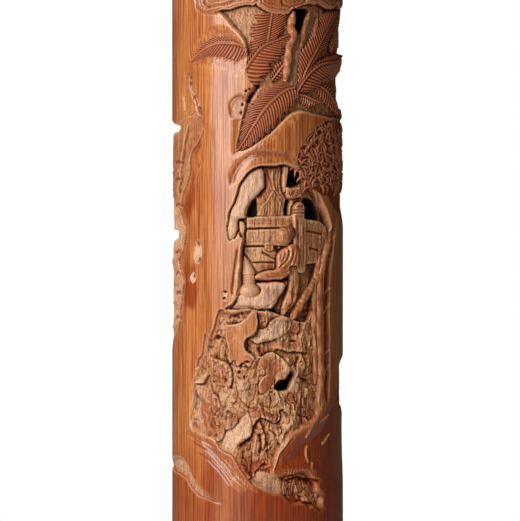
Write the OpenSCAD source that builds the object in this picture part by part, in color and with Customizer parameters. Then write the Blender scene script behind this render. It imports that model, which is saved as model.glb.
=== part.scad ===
// Slim carved bamboo brush holder: one openwork culm section, closed below by a
// turned hardwood foot and a let-in floor, edged above by a turned hardwood rim,
// and lined with a thin lacquered sleeve so that brushes do not poke through the
// piercings. The rim and the foot are each held by three bamboo pins.
//
// Frame: +Z up, origin at the centre of the plane that the feet stand on.
// The front of the carving faces -Y. Carved outlines are given on the unrolled
// culm: [distance round the wall from the front line, height], in millimetres.

/* [Culm] */
// Outer diameter of the bamboo culm
culm_d = 50; // [42:1:64]
// Thickness of the culm wall
culm_wall = 6; // [5:0.25:7.5]
// Length of the culm between the foot ring and the rim ring
culm_length = 180; // [145:1:220]
// Depth of the carved ground below the skin
ground_depth = 1.6; // [0.6:0.1:2]
// Depth of the garden niche below the skin
niche_depth = 3.2; // [2.2:0.1:4]

/* [Rim ring] */
// Height of the rim above the culm
rim_h = 7; // [5:0.5:10]
// How far the rim stands out past the culm
rim_overhang = 1; // [0:0.25:2.5]
// Depth that the rim's spigot reaches into the bore
rim_spigot = 6; // [5:0.5:9]
// Thickness of the rim's spigot
rim_wall = 1.6; // [1.2:0.1:2.4]

/* [Foot ring] */
// Height of the foot ring below the culm
foot_ring_h = 9; // [7:0.5:12]
// How far the foot ring stands out past the culm
foot_overhang = 1.5; // [0.5:0.25:3]
// Depth that the foot's spigot reaches into the bore
foot_spigot = 7; // [6:0.5:10]
// Radius of the opening under the floor
under_r = 13.5; // [9:0.5:14]
// Height of the bracket feet
foot_h = 4; // [3:0.5:8]
// Sweep of each bracket foot round the ring, in degrees
foot_sweep = 34; // [20:1:50]

/* [Floor, sleeve and pins] */
// Thickness of the floor disc
floor_t = 5; // [3:0.5:6]
// Width of the spigot wall round the floor disc
floor_seat = 2.4; // [2:0.1:3]
// Thickness of the lacquered sleeve
sleeve_t = 0.8; // [0.6:0.1:1.2]
// Diameter of the bamboo pins and of the foot tenons
pin_d = 2; // [1.5:0.1:2.6]

/* [Hidden] */
$fn = 96;
PIN_COUNT = 3;
FOOT_COUNT = 3;
fit_gap = 0.1; // radial room of a spigot, floor or sleeve in its seat
pin_gap = 0.03; // radial room of a pin in its hole
cut = 1; // how far a cutting solid runs past what it cuts

culm_r = culm_d / 2;
bore_r = culm_r - culm_wall;
spigot_r = bore_r - fit_gap;
sleeve_r = spigot_r - fit_gap;
well_r = sleeve_r - sleeve_t;
mouth_r = spigot_r - rim_wall;
pin_r = pin_d / 2;
tenon_r = 0.75 * pin_d;
tenon_l = 4;

foot_ring_z = foot_h;
culm_z = foot_ring_z + foot_ring_h;
floor_top = culm_z + foot_spigot;
rim_z = culm_z + culm_length;
total_h = rim_z + rim_h;
floor_r = spigot_r - floor_seat - fit_gap;
rim_pin_z = rim_z - rim_spigot / 2;
foot_pin_z = culm_z + foot_spigot / 2;
pin_inset = 0.15; // the pins' outer ends are dressed just below the skin
pin_bite = 0.6; // share of the spigot's wall that a pin enters, so that it stops short of the inner face
rim_pin_depth = culm_wall + fit_gap + pin_bite * rim_wall;
foot_pin_depth = culm_wall + fit_gap + pin_bite * floor_seat;

// The carving was laid out on a culm of this size, and follows the real one.
LAYOUT_D = 50;
LAYOUT_LENGTH = 180;
LAYOUT_BASE = 13;
function across(u) = u * culm_d / LAYOUT_D;
function up(z) = culm_z + (z - LAYOUT_BASE) * culm_length / LAYOUT_LENGTH;
function laid(outline, u) = [for (p = outline) [across(p[0] - u), up(p[1])]];
function turn_of(u) = across(u) / culm_r * 180 / PI;

// Openings cut right through the wall: [distance round, outline].
PIERCINGS = [
    [13, [[10, 169.4], [10.9, 170.9], [16.6, 171], [15.2, 169], [13.4, 166.8], [12.8, 164.6], [12.1, 165.2]]],
    [-2, [[-3.4, 110.8], [-0.4, 110.8], [-0.3, 117], [-1.3, 115.8], [-2.6, 113.2]]],
    [11.5, [[9.9, 119.5], [12.4, 119.5], [13.6, 122.6], [11.4, 124], [10.4, 122.6]]],
    [9.8, [[9, 111.2], [10.4, 111.2], [10.7, 115.4], [9.5, 115.4]]],
    [18, [[15.8, 110.4], [21.3, 109.9], [19.4, 113.8], [17.2, 116.2], [15.8, 115.2]]],
    [8.5, [[5.2, 61.2], [6, 60], [10.3, 60.2], [12.1, 65.2], [10.2, 66], [9.4, 63.6], [7, 62.9]]],
    [72, [[69.6, 118], [73.4, 117.4], [75, 121], [72.6, 124.6], [70.2, 122.4]]],
    [-66, [[-68, 84], [-65.2, 83], [-63.6, 86.4], [-65.4, 90.2], [-67.6, 88.6]]],
];

// Carved grounds: [distance round, depth below the skin, outline].
GROUNDS = [
    // garden niche under its rock arch
    [7, niche_depth, [
        [-7.5, 108], [-6.6, 114], [-5.2, 119.6], [-1.6, 124], [4, 125.6], [9.6, 125.4], [14, 122.4],
        [20, 116], [24.6, 109], [23, 100], [20.4, 94], [17.4, 86], [15, 78], [6, 78], [-3.4, 80], [-5, 88], [-4.6, 104]]],
    // tumbled rocks below the niche
    [2, ground_depth, [
        [-9.6, 83.6], [-13.4, 81], [-17.4, 72], [-20.6, 65], [-20.8, 56], [-18, 47], [-9, 41.4], [-4, 36], [1, 32],
        [12, 28.4], [20, 27], [24, 34], [25.6, 50], [24.8, 66], [22, 84], [4, 84]]],
    // ground behind the palm leaves
    [14, ground_depth, [
        [-7, 170], [-1, 158], [2, 149], [8, 145.6], [14, 144], [24, 140], [36, 141], [38, 168], [28, 173], [14, 174]]],
    // cliff on the left side
    [-42, ground_depth, [
        [-32, 110], [-27, 108.6], [-25.6, 104], [-29, 99], [-28, 93], [-28.4, 85], [-34, 75], [-40, 66], [-54, 60],
        [-60, 88], [-56, 112], [-48, 128], [-38, 126]]],
    // cliff and pine on the back
    [78, ground_depth, [
        [52, 60], [60, 42], [78, 34], [98, 40], [104, 66], [100, 92], [104, 124], [92, 146], [72, 152], [56, 140], [50, 100]]],
];

// Fissures that cross the edge of the cliffs: [distance round, height, half width, half height, depth].
FISSURES = [
    [-38.5, 137.4, 9, 2, 2.2],
    [-38.5, 106, 8, 1.7, 1.6],
    [39, 168.2, 6, 1.8, 1.2],
    [39, 155.4, 7, 1.7, 1.6],
    [39, 57, 8, 3.8, 1.9],
];

BAMBOO_SKIN = [0.66, 0.36, 0.19];
BAMBOO_PIN = [0.78, 0.58, 0.36];
HARDWOOD = [0.2, 0.08, 0.06];
LACQUER = [0.05, 0.04, 0.04];

function numbered(name, count) = [for (i = [1:count]) str(name, "_", i)];

// A flat drawing set upright against the wall, facing outwards at distance u round it.
module on_wall(u) {
    rotate([0, 0, turn_of(u)])
        translate([0, -culm_r, 0])
            rotate([90, 0, 0])
                children();
}

// The outer layer of the wall, down to a depth below the skin.
module skin_layer(depth) {
    translate([0, 0, culm_z - cut])
        difference() {
            cylinder(r = culm_r + cut, h = culm_length + 2 * cut);
            translate([0, 0, -cut])
                cylinder(r = culm_r - depth, h = culm_length + 4 * cut);
        }
}

// A carved ground with a floor that follows the curve of the culm.
module ground(u, depth, outline) {
    intersection() {
        skin_layer(depth);
        on_wall(u)
            linear_extrude(height = culm_r, center = true)
                polygon(laid(outline, u));
    }
}

// An opening straight through the wall.
module piercing(u, outline) {
    on_wall(u)
        translate([0, 0, -culm_wall - cut])
            linear_extrude(height = culm_wall + 3 * cut)
                polygon(laid(outline, u));
}

// A level crack in the rocks, open at the silhouette.
module fissure(u, z, half_w, half_h, depth) {
    intersection() {
        skin_layer(depth);
        on_wall(u)
            translate([-across(half_w), up(z - half_h), -culm_r / 2])
                cube([2 * across(half_w), up(z + half_h) - up(z - half_h), culm_r]);
    }
}

// A radial rod for pin i, from a depth below the skin to a height above it.
module radial_rod(i, z, r, depth, proud) {
    rotate([0, 0, 30 + i * 360 / PIN_COUNT])
        translate([culm_r - depth, 0, z])
            rotate([0, 90, 0])
                cylinder(r = r, h = depth + proud);
}

module pin_holes(z, depth) {
    for (i = [1:PIN_COUNT])
        radial_rod(i, z, pin_r + pin_gap, depth + pin_gap, cut);
}

module pin(i, z, depth) {
    color(BAMBOO_PIN)
        radial_rod(i, z, pin_r, depth, -pin_inset);
}

module carved_culm() {
    color(BAMBOO_SKIN)
        difference() {
            translate([0, 0, culm_z])
                cylinder(r = culm_r, h = culm_length);
            translate([0, 0, culm_z - cut])
                cylinder(r = bore_r, h = culm_length + 2 * cut);
            for (g = GROUNDS)
                ground(g[0], g[1], g[2]);
            for (p = PIERCINGS)
                piercing(p[0], p[1]);
            for (f = FISSURES)
                fissure(f[0], f[1], f[2], f[3], f[4]);
            pin_holes(rim_pin_z, rim_pin_depth);
            pin_holes(foot_pin_z, foot_pin_depth);
        }
}

// Stands on the foot's spigot and is kept down by the rim's spigot.
module lacquer_sleeve() {
    color(LACQUER)
        translate([0, 0, floor_top])
            difference() {
                cylinder(r = sleeve_r, h = culm_length - foot_spigot - rim_spigot);
                translate([0, 0, -cut])
                    cylinder(r = well_r, h = culm_length);
            }
}

module floor_disc() {
    color(BAMBOO_PIN)
        translate([0, 0, floor_top - floor_t])
            cylinder(r = floor_r, h = floor_t);
}

// Turned lip with a half-round edge, over a spigot that fills the mouth of the bore.
module rim_ring() {
    edge_r = rim_h / 2;
    color(HARDWOOD)
        difference() {
            rotate_extrude() {
                translate([mouth_r, rim_z])
                    square([culm_r + rim_overhang - edge_r - mouth_r, rim_h]);
                translate([culm_r + rim_overhang - edge_r, rim_z + edge_r])
                    circle(r = edge_r);
                translate([mouth_r, rim_z - rim_spigot])
                    square([rim_wall, rim_spigot + edge_r]);
            }
            pin_holes(rim_pin_z, rim_pin_depth);
        }
}

// Base moulding, cove and bead under the culm, and a spigot with a seat for the floor.
module foot_ring() {
    bead_r = foot_ring_h / 5;
    cove_r = foot_ring_h / 6;
    base_h = foot_ring_h - 2 * bead_r - 2 * cove_r;
    outer_r = culm_r + foot_overhang;
    color(HARDWOOD)
        difference() {
            rotate_extrude()
                difference() {
                    union() {
                        translate([under_r, foot_ring_z])
                            square([outer_r - under_r, base_h + 2 * cove_r]);
                        translate([under_r, culm_z - 2 * bead_r - cove_r / 2])
                            square([outer_r - bead_r - under_r, 2 * bead_r + cove_r / 2]);
                        translate([outer_r - bead_r, culm_z - bead_r])
                            circle(r = bead_r);
                        translate([under_r, culm_z - bead_r])
                            square([spigot_r - under_r, foot_spigot + bead_r]);
                    }
                    translate([outer_r, foot_ring_z + base_h + cove_r])
                        circle(r = cove_r);
                    translate([under_r - cut, floor_top - floor_t])
                        square([floor_r + fit_gap - under_r + cut, floor_t + cut]);
                }
            pin_holes(foot_pin_z, foot_pin_depth);
            for (i = [1:FOOT_COUNT])
                foot_at(i)
                    translate([0, 0, foot_h - cut])
                        cylinder(r = tenon_r + pin_gap, h = tenon_l + cut + pin_gap);
        }
}

// The middle of foot i's tenon, with +X pointing outwards. Foot 1 stands at the front.
module foot_at(i) {
    rotate([0, 0, -90 + (i - 1) * 360 / FOOT_COUNT])
        translate([(under_r + culm_r) / 2, 0, 0])
            children();
}

// A low bracket whose outer face kicks out at the toe, tenoned up into the ring.
module bracket_foot(i) {
    back_r = (under_r + culm_r) / 2 - 2 * tenon_r;
    toe_r = culm_r + foot_overhang;
    color(HARDWOOD) {
        rotate([0, 0, -90 + (i - 1) * 360 / FOOT_COUNT - foot_sweep / 2])
            rotate_extrude(angle = foot_sweep)
                difference() {
                    translate([back_r, 0])
                        square([toe_r - back_r, foot_h]);
                    translate([toe_r + 0.2 * foot_h, 0.6 * foot_h])
                        circle(r = 0.4 * foot_h);
                }
        foot_at(i)
            translate([0, 0, foot_h / 2])
                cylinder(r = tenon_r, h = foot_h / 2 + tenon_l);
    }
}

carved_culm();
lacquer_sleeve();
floor_disc();
rim_ring();
foot_ring();
for (i = [1:PIN_COUNT]) {
    pin(i, rim_pin_z, rim_pin_depth);
    pin(i, foot_pin_z, foot_pin_depth);
}
for (i = [1:FOOT_COUNT])
    bracket_foot(i);
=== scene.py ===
import bpy
import numpy as np
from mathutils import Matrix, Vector


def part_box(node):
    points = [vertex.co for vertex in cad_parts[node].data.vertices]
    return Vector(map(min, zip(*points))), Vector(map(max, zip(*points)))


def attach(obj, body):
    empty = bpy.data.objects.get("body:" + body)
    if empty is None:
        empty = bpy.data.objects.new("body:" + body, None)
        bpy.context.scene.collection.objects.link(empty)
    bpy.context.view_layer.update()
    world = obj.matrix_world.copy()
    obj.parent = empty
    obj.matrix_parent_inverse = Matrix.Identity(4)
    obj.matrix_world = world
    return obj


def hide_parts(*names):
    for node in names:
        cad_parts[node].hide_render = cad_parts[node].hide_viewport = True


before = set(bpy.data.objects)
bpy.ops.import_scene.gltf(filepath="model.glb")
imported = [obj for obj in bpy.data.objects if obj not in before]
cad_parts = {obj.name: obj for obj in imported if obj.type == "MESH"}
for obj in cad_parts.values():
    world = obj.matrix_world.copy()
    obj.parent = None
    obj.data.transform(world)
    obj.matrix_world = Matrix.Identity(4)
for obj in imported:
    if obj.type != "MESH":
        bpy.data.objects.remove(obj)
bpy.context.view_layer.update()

# Bracket feet: three low brackets of dark hardwood with a moulded outer face, each tenoned
# up into the foot ring. They carry the whole holder, so their undersides lie in one plane.
MM = 1000
TOE_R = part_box("foot_ring")[1].x * MM
FOOT_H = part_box("foot_ring")[0].z * MM
FOOT_BACK_R = -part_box("bracket_foot_1")[1].y * MM
FOOT_SWEEP = np.radians(34)
HARDWOOD_DARK = (58, 26, 20)
HARDWOOD_LIGHT = (96, 46, 32)
HARDWOOD_PORE = (24, 10, 8)
FOOT_END_EASE = 0.16


def paint(colour, alpha=1.0):
    """A colour given in 8-bit sRGB, as linear values: a share of it below a threshold, a power above."""
    c = np.array(colour) / 255
    linear = np.where(c <= 0.04045, c / 12.92, ((c + 0.055) / 1.055) ** 2.4)
    return (*linear.tolist(), alpha)


class Flow:
    """One output in a material's nodes. Arithmetic on it adds Math nodes."""

    def __init__(self, tree, socket=None):
        self.tree, self.socket, self.coat = tree, socket, None

    def node(self, kind, settings, inputs, output=0):
        """Adds a node: its settings, then the values or links of its sockets, by name or number."""
        made = self.tree.nodes.new(kind)
        for key, value in settings.items():
            if key == "stops":
                ramp = made.color_ramp.elements
                while len(ramp) < len(value):
                    ramp.new(1)
                for stop, (place, colour) in zip(ramp, value):
                    stop.position, stop.color = place, colour
            else:
                setattr(made, key, value)
        for key, value in inputs.items():
            if isinstance(value, Flow):
                self.tree.links.new(value.socket, made.inputs[key])
            else:
                made.inputs[key].default_value = value
        return Flow(self.tree, made.outputs[output])

    def math(self, operation, first, second=0.0):
        return self.node("ShaderNodeMath", {"operation": operation}, {0: first, 1: second})

    def __add__(self, other):
        return self.math("ADD", self, other)

    def __radd__(self, other):
        return self.math("ADD", other, self)

    def __sub__(self, other):
        return self.math("SUBTRACT", self, other)

    def __rsub__(self, other):
        return self.math("SUBTRACT", other, self)

    def __mul__(self, other):
        return self.math("MULTIPLY", self, other)

    def __rmul__(self, other):
        return self.math("MULTIPLY", other, self)

    def clamped(self):
        return self.math("MAXIMUM", self.math("MINIMUM", self, 1.0), 0.0)

    def between(self, low, high):
        """0 below low and 1 above high, with a smooth rise."""
        return self.node("ShaderNodeMapRange", {"interpolation_type": "SMOOTHSTEP"},
                         {"Value": self, "From Min": low, "From Max": high})

    def blend(self, first, second):
        """The first colour where this value is 0, the second where it is 1."""
        return self.node("ShaderNodeMix", {"data_type": "RGBA"}, {0: self, 6: first, 7: second}, 2)

    def scaled(self, x, y, z):
        return self.node("ShaderNodeMapping", {}, {"Vector": self, "Scale": (x, y, z)})

    def noise(self, scale, detail=2.0, roughness=0.5, distortion=0.0):
        return self.node("ShaderNodeTexNoise", {}, {"Vector": self, "Scale": scale, "Detail": detail,
                                                    "Roughness": roughness, "Distortion": distortion})

    def value(self, name):
        """A number stored on the mesh, at each vertex."""
        return self.node("ShaderNodeAttribute", {"attribute_name": name}, {}, 2)


def material(name, colour_of, **fixed):
    """A material whose colour_of(flow) returns its base colour, roughness and bump height in mm."""
    made = bpy.data.materials.new(name)
    made.use_nodes = True
    tree = made.node_tree
    shader = tree.nodes["Principled BSDF"]
    flow = Flow(tree)
    place = flow.node("ShaderNodeTexCoord", {}, {}, "Object").scaled(MM, MM, MM)
    colour, rough, height = colour_of(flow, place)
    for socket, source in (("Base Color", colour), ("Roughness", rough), ("Coat Weight", flow.coat)):
        if source:
            tree.links.new(source.socket, shader.inputs[socket])
    bump = flow.node("ShaderNodeBump", {}, {"Height": height, "Strength": 1.0, "Distance": 1 / MM})
    tree.links.new(bump.socket, shader.inputs["Normal"])
    for socket, value in fixed.items():
        shader.inputs[socket.replace("_", " ")].default_value = value
    return made


def hardwood_look(flow, place):
    """Long dark pores and slow bands, both stretched round the turning."""
    bands = place.scaled(0.06, 0.06, 0.5).noise(1.0, 3.0, distortion=0.6)
    pores = place.scaled(0.9, 0.9, 7.0).noise(1.0, 2.0).between(0.52, 0.7)
    colour = bands.between(0.35, 0.65).blend(paint(HARDWOOD_DARK), paint(HARDWOOD_LIGHT))
    colour = (pores * 0.6).blend(colour, paint(HARDWOOD_PORE))
    return colour, 0.3 + pores * 0.25, pores * -0.02


hardwood = material("waxed_hardwood", hardwood_look, Coat_Weight=0.3, Coat_Roughness=0.18)


def closed_faces(rows, cols, ring=False):
    """Quads of a grid whose columns join up. Its rows join up on a ring, and end in two fans if not."""
    index = np.arange(rows * cols).reshape(rows, cols)
    low = index if ring else index[:-1]
    high = np.roll(index, -1, 0) if ring else index[1:]
    quads = np.stack([low, np.roll(low, -1, 1), np.roll(high, -1, 1), high], -1).reshape(-1, 4).tolist()
    if ring:
        return quads
    first, last = rows * cols, rows * cols + 1
    turned = np.roll(index, -1, 1)
    fans = [np.stack([np.full(cols, first), turned[0], index[0]], -1),
            np.stack([np.full(cols, last), index[-1], turned[-1]], -1)]
    return quads + np.concatenate(fans).tolist()


def signed_volume(points, faces):
    """Six times the volume inside the faces, from the tetrahedra between the origin and each face's fan."""
    corners = np.array([[f[0], f[k], f[k + 1]] for f in faces for k in range(1, len(f) - 1)])
    a, b, c = points[corners[:, 0]], points[corners[:, 1]], points[corners[:, 2]]
    return float(np.einsum("ij,ij->", a, np.cross(b, c)))


def piece(name, points, faces, finish, stands_for=(), values=None):
    """A mesh from points in mm, with its faces turned outwards, that rides on the holder's one body."""
    points = np.asarray(points, float)
    if signed_volume(points, faces) < 0:
        faces = [face[::-1] for face in faces]
    mesh = bpy.data.meshes.new(name)
    mesh.from_pydata((points / MM).tolist(), [], faces)
    for key, numbers in (values or {}).items():
        stored = mesh.attributes.new(key, "FLOAT", "POINT")
        stored.data.foreach_set("value", np.asarray(numbers, np.float32).ravel())
    mesh.materials.append(finish)
    mesh.shade_smooth()
    made = bpy.data.objects.new(name, mesh)
    bpy.context.scene.collection.objects.link(made)
    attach(made, "root")
    if stands_for:
        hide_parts(*stands_for)
    return made


def swept(name, sections, finish, stands_for=(), ring=False, values=None):
    """A closed piece from sections (rows, columns, xyz): each section is a closed loop of points."""
    rows, cols = sections.shape[:2]
    points = sections.reshape(-1, 3)
    values = {key: np.broadcast_to(v, (rows, cols)).ravel() for key, v in (values or {}).items()}
    if not ring:
        points = np.vstack([points, sections[0].mean(0), sections[-1].mean(0)])
        values = {key: np.append(v, [v[0], v[-1]]) for key, v in values.items()}
    return piece(name, points, closed_faces(rows, cols, ring), finish, stands_for, values)


def arc(centre_r, centre_z, radius, start, end, steps=8):
    """Points on a circle in the (radius, height) plane, from one angle to another in degrees."""
    a = np.radians(np.linspace(start, end, steps))
    return list(zip(centre_r + radius * np.cos(a), centre_z + radius * np.sin(a)))


def around(profile, angles):
    """A closed (radius, height) profile carried round the Z axis: rows are angles, from -Y towards +X."""
    r, z = np.array(profile).T
    a = np.asarray(angles)[:, None]
    return np.stack([r * np.sin(a), -r * np.cos(a), np.broadcast_to(z, (len(angles), len(z)))], -1)


foot_profile = np.array([
    (FOOT_BACK_R, 0.5), *arc(FOOT_BACK_R + 0.5, 0.5, 0.5, 180, 270, 4),
    *arc(TOE_R - 0.6, 0.6, 0.6, -90, 60, 8), *arc(TOE_R + 0.35, 2.35, 1.3, 225, 150, 8),
    *arc(TOE_R - 0.55, FOOT_H - 0.45, 0.45, -20, 90, 5), (FOOT_BACK_R, FOOT_H),
])
foot_middle = foot_profile.mean(0)
along_foot = np.linspace(-1, 1, 41)
eased = (1 - np.abs(along_foot) ** 40 * FOOT_END_EASE)[:, None]
foot_r = foot_middle[0] + (foot_profile[:, 0] - foot_middle[0]) * eased
foot_z = np.broadcast_to(foot_profile[:, 1], foot_r.shape)
for number in (1, 2, 3):
    angle = ((number - 1) * 2 * np.pi / 3 + along_foot * FOOT_SWEEP / 2)[:, None]
    foot = np.stack([foot_r * np.sin(angle), -foot_r * np.cos(angle), foot_z], -1)
    swept(f"foot_bracket_{number}", foot, hardwood, (f"bracket_foot_{number}",))

# Foot ring: dark hardwood turned on a lathe, with a base moulding, a cove and a bead under the
# culm, and a spigot glued up into its bore. A step in the spigot takes the floor.
CULM_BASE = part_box("carved_culm")[0].z * MM
FLOOR_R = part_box("floor_disc")[1].x * MM
FLOOR_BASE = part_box("floor_disc")[0].z * MM
FLOOR_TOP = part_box("floor_disc")[1].z * MM
SPIGOT_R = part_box("lacquer_sleeve")[1].x * MM + 0.1
UNDER_R = 13.5
COVE_R = 1.5
BEAD_R = 1.8
TURNING = np.linspace(0, 2 * np.pi, 192, endpoint=False)

cove_z = CULM_BASE - 2 * BEAD_R - COVE_R
foot_ring_profile = [
    *arc(UNDER_R + 0.4, FOOT_H + 0.4, 0.4, 180, 270, 4), *arc(TOE_R - 0.5, FOOT_H + 0.5, 0.5, -90, 0, 5),
    *arc(TOE_R - 0.4, cove_z - COVE_R - 0.4, 0.4, 0, 80, 5), *arc(TOE_R, cove_z, COVE_R, -120, -240, 13),
    *arc(TOE_R - BEAD_R, CULM_BASE - BEAD_R, BEAD_R, -70, 90, 15), (SPIGOT_R, CULM_BASE),
    (SPIGOT_R, FLOOR_TOP - 0.2), (SPIGOT_R - 0.2, FLOOR_TOP), (FLOOR_R + 0.3, FLOOR_TOP),
    (FLOOR_R + 0.1, FLOOR_TOP - 0.2), (FLOOR_R + 0.1, FLOOR_BASE), (UNDER_R, FLOOR_BASE),
]
swept("turned_foot", around(foot_ring_profile, TURNING), hardwood, ("foot_ring",), ring=True)

# Floor: a round of plain bamboo board let into the foot ring's step and glued, with its edge
# eased and its grain running straight across.
BOARD_PALE = (196, 150, 96)
BOARD_DARK = (150, 100, 56)
BOARD_VESSEL = (98, 56, 28)


def board_look(flow, place):
    """Fibres along one direction, as streaks with fine dark vessels between them."""
    streaks = place.scaled(1.4, 0.08, 1.4).noise(1.0, 3.0)
    vessels = place.scaled(3.0, 0.25, 3.0).noise(1.0, 2.0).between(0.56, 0.68)
    colour = streaks.between(0.3, 0.7).blend(paint(BOARD_DARK), paint(BOARD_PALE))
    colour = (vessels * 0.7).blend(colour, paint(BOARD_VESSEL))
    return colour, 0.5 + vessels * 0.2, vessels * -0.03


board = material("plain_bamboo", board_look)
floor_profile = [
    (0.02, FLOOR_BASE), (8, FLOOR_BASE), *arc(FLOOR_R - 0.3, FLOOR_BASE + 0.3, 0.3, -90, 0, 4),
    *arc(FLOOR_R - 0.4, FLOOR_TOP - 0.4, 0.4, 0, 90, 5), (8, FLOOR_TOP), (0.02, FLOOR_TOP),
]
swept("floor_board", around(floor_profile, TURNING), board, ("floor_disc",), ring=True)

# Carved culm: one length of bamboo. Its skin is left smooth and polished on the high places, and
# the ground round the figures is cut back into the pale, matt fibre. Some cuts go right through.
# The wall is worked out as a map: at each place round it (u, in mm from the front line, to the
# right) and each height (z), how deep the surface lies below the skin.
CULM_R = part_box("carved_culm")[1].x * MM
CULM_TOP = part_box("carved_culm")[1].z * MM
WALL = 6.0
ROUND = 2 * np.pi * CULM_R
FRONT = 38.0
FRONT_SPACING = 0.2
BACK_COLUMNS = 262
ROWS = 819
SKIN_PALE = (216, 138, 76)
SKIN_DEEP = (158, 76, 34)
EDGE_HIGHLIGHT_PALE = (238, 184, 138)
EDGE_HIGHLIGHT_RED = (232, 140, 94)
FLECK = (100, 48, 22)
FIBRE_PALE = (224, 160, 102)
FIBRE_DEEP = (164, 98, 54)
RUBBED_AND_LIT = (242, 198, 164)
STAIN_AND_SHADE_PALE = (164, 62, 14)
STAIN_AND_SHADE_DEEP = (118, 38, 8)
RIND_CLOUD = (168, 76, 38)
RIND_VESSEL = (110, 50, 24)
RIND_RUBBED_AND_LIT = (228, 180, 150)
HOLLOW_SHADE = (28, 11, 5)


def on_wall(u, z, depth):
    """The place in space of a point u mm round the wall, z mm up and depth mm below the skin."""
    r = CULM_R - depth
    return np.stack(np.broadcast_arrays(r * np.sin(u / CULM_R), -r * np.cos(u / CULM_R), z), -1)


def flowing(points, closed=False, steps=5):
    """A smooth line through given points, by the Catmull-Rom cubic on each span."""
    p = np.asarray(points, float)
    if closed:
        a, b, c, d = (np.roll(p, shift, 0) for shift in (1, 0, -1, -2))
    else:
        q = np.vstack([2 * p[0] - p[1], p, 2 * p[-1] - p[-2]])
        a, b, c, d = q[:-3], q[1:-2], q[2:-1], q[3:]
    t = (np.arange(steps) / steps)[:, None, None]
    cubic = 2 * b + (c - a) * t + (2 * a - 5 * b + 4 * c - d) * t**2 + (3 * b - a - 3 * c + d) * t**3
    line = cubic.transpose(1, 0, 2).reshape(-1, p.shape[1]) / 2
    return line if closed else np.vstack([line, p[-1:]])


def smooth(x):
    """0 below 0 and 1 above 1, with a level start and end."""
    x = np.clip(x, 0, 1)
    return x * x * (3 - 2 * x)


def line_gap(points, u, z, closed=False):
    """From each place, the least distance to a line, how far along the line that is, from 0 to 1, and
    on which side of it the place lies: above 0 on the left of its direction."""
    ends = np.roll(points, -1, 0) if closed else points[1:]
    lengths = np.hypot(*(ends - points[: len(ends)]).T)
    total, passed = max(lengths.sum(), 1e-9), 0.0
    best, along, side = (np.full(np.broadcast(u, z).shape, start) for start in (1e9, 0.0, 0.0))
    for start, end, length in zip(points, ends, lengths):
        du, dz = end - start
        x, y = u - start[0], z - start[1]
        t = np.clip((x * du + y * dz) / max(length**2, 1e-12), 0, 1)
        gap = np.hypot(x - t * du, y - t * dz)
        closer = gap < best - 1e-9
        best = np.where(closer, gap, best)
        along = np.where(closer, (passed + t * length) / total, along)
        side = np.where(closer, du * y - dz * x, side)
        passed += length
    return best, along, side


def inward(points, u, z):
    """The distance to a closed outline, above 0 inside it, where a level ray crosses it an odd number of
    times."""
    gap = line_gap(points, u, z, True)[0]
    odd = np.zeros(gap.shape, bool)
    for start, end in zip(points, np.roll(points, -1, 0)):
        spans = (start[1] > z) != (end[1] > z)
        rise = end[1] - start[1] or 1e-9
        odd ^= spans & (u < start[0] + (z - start[1]) / rise * (end[0] - start[0]))
    return np.where(odd, gap, -gap)


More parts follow.
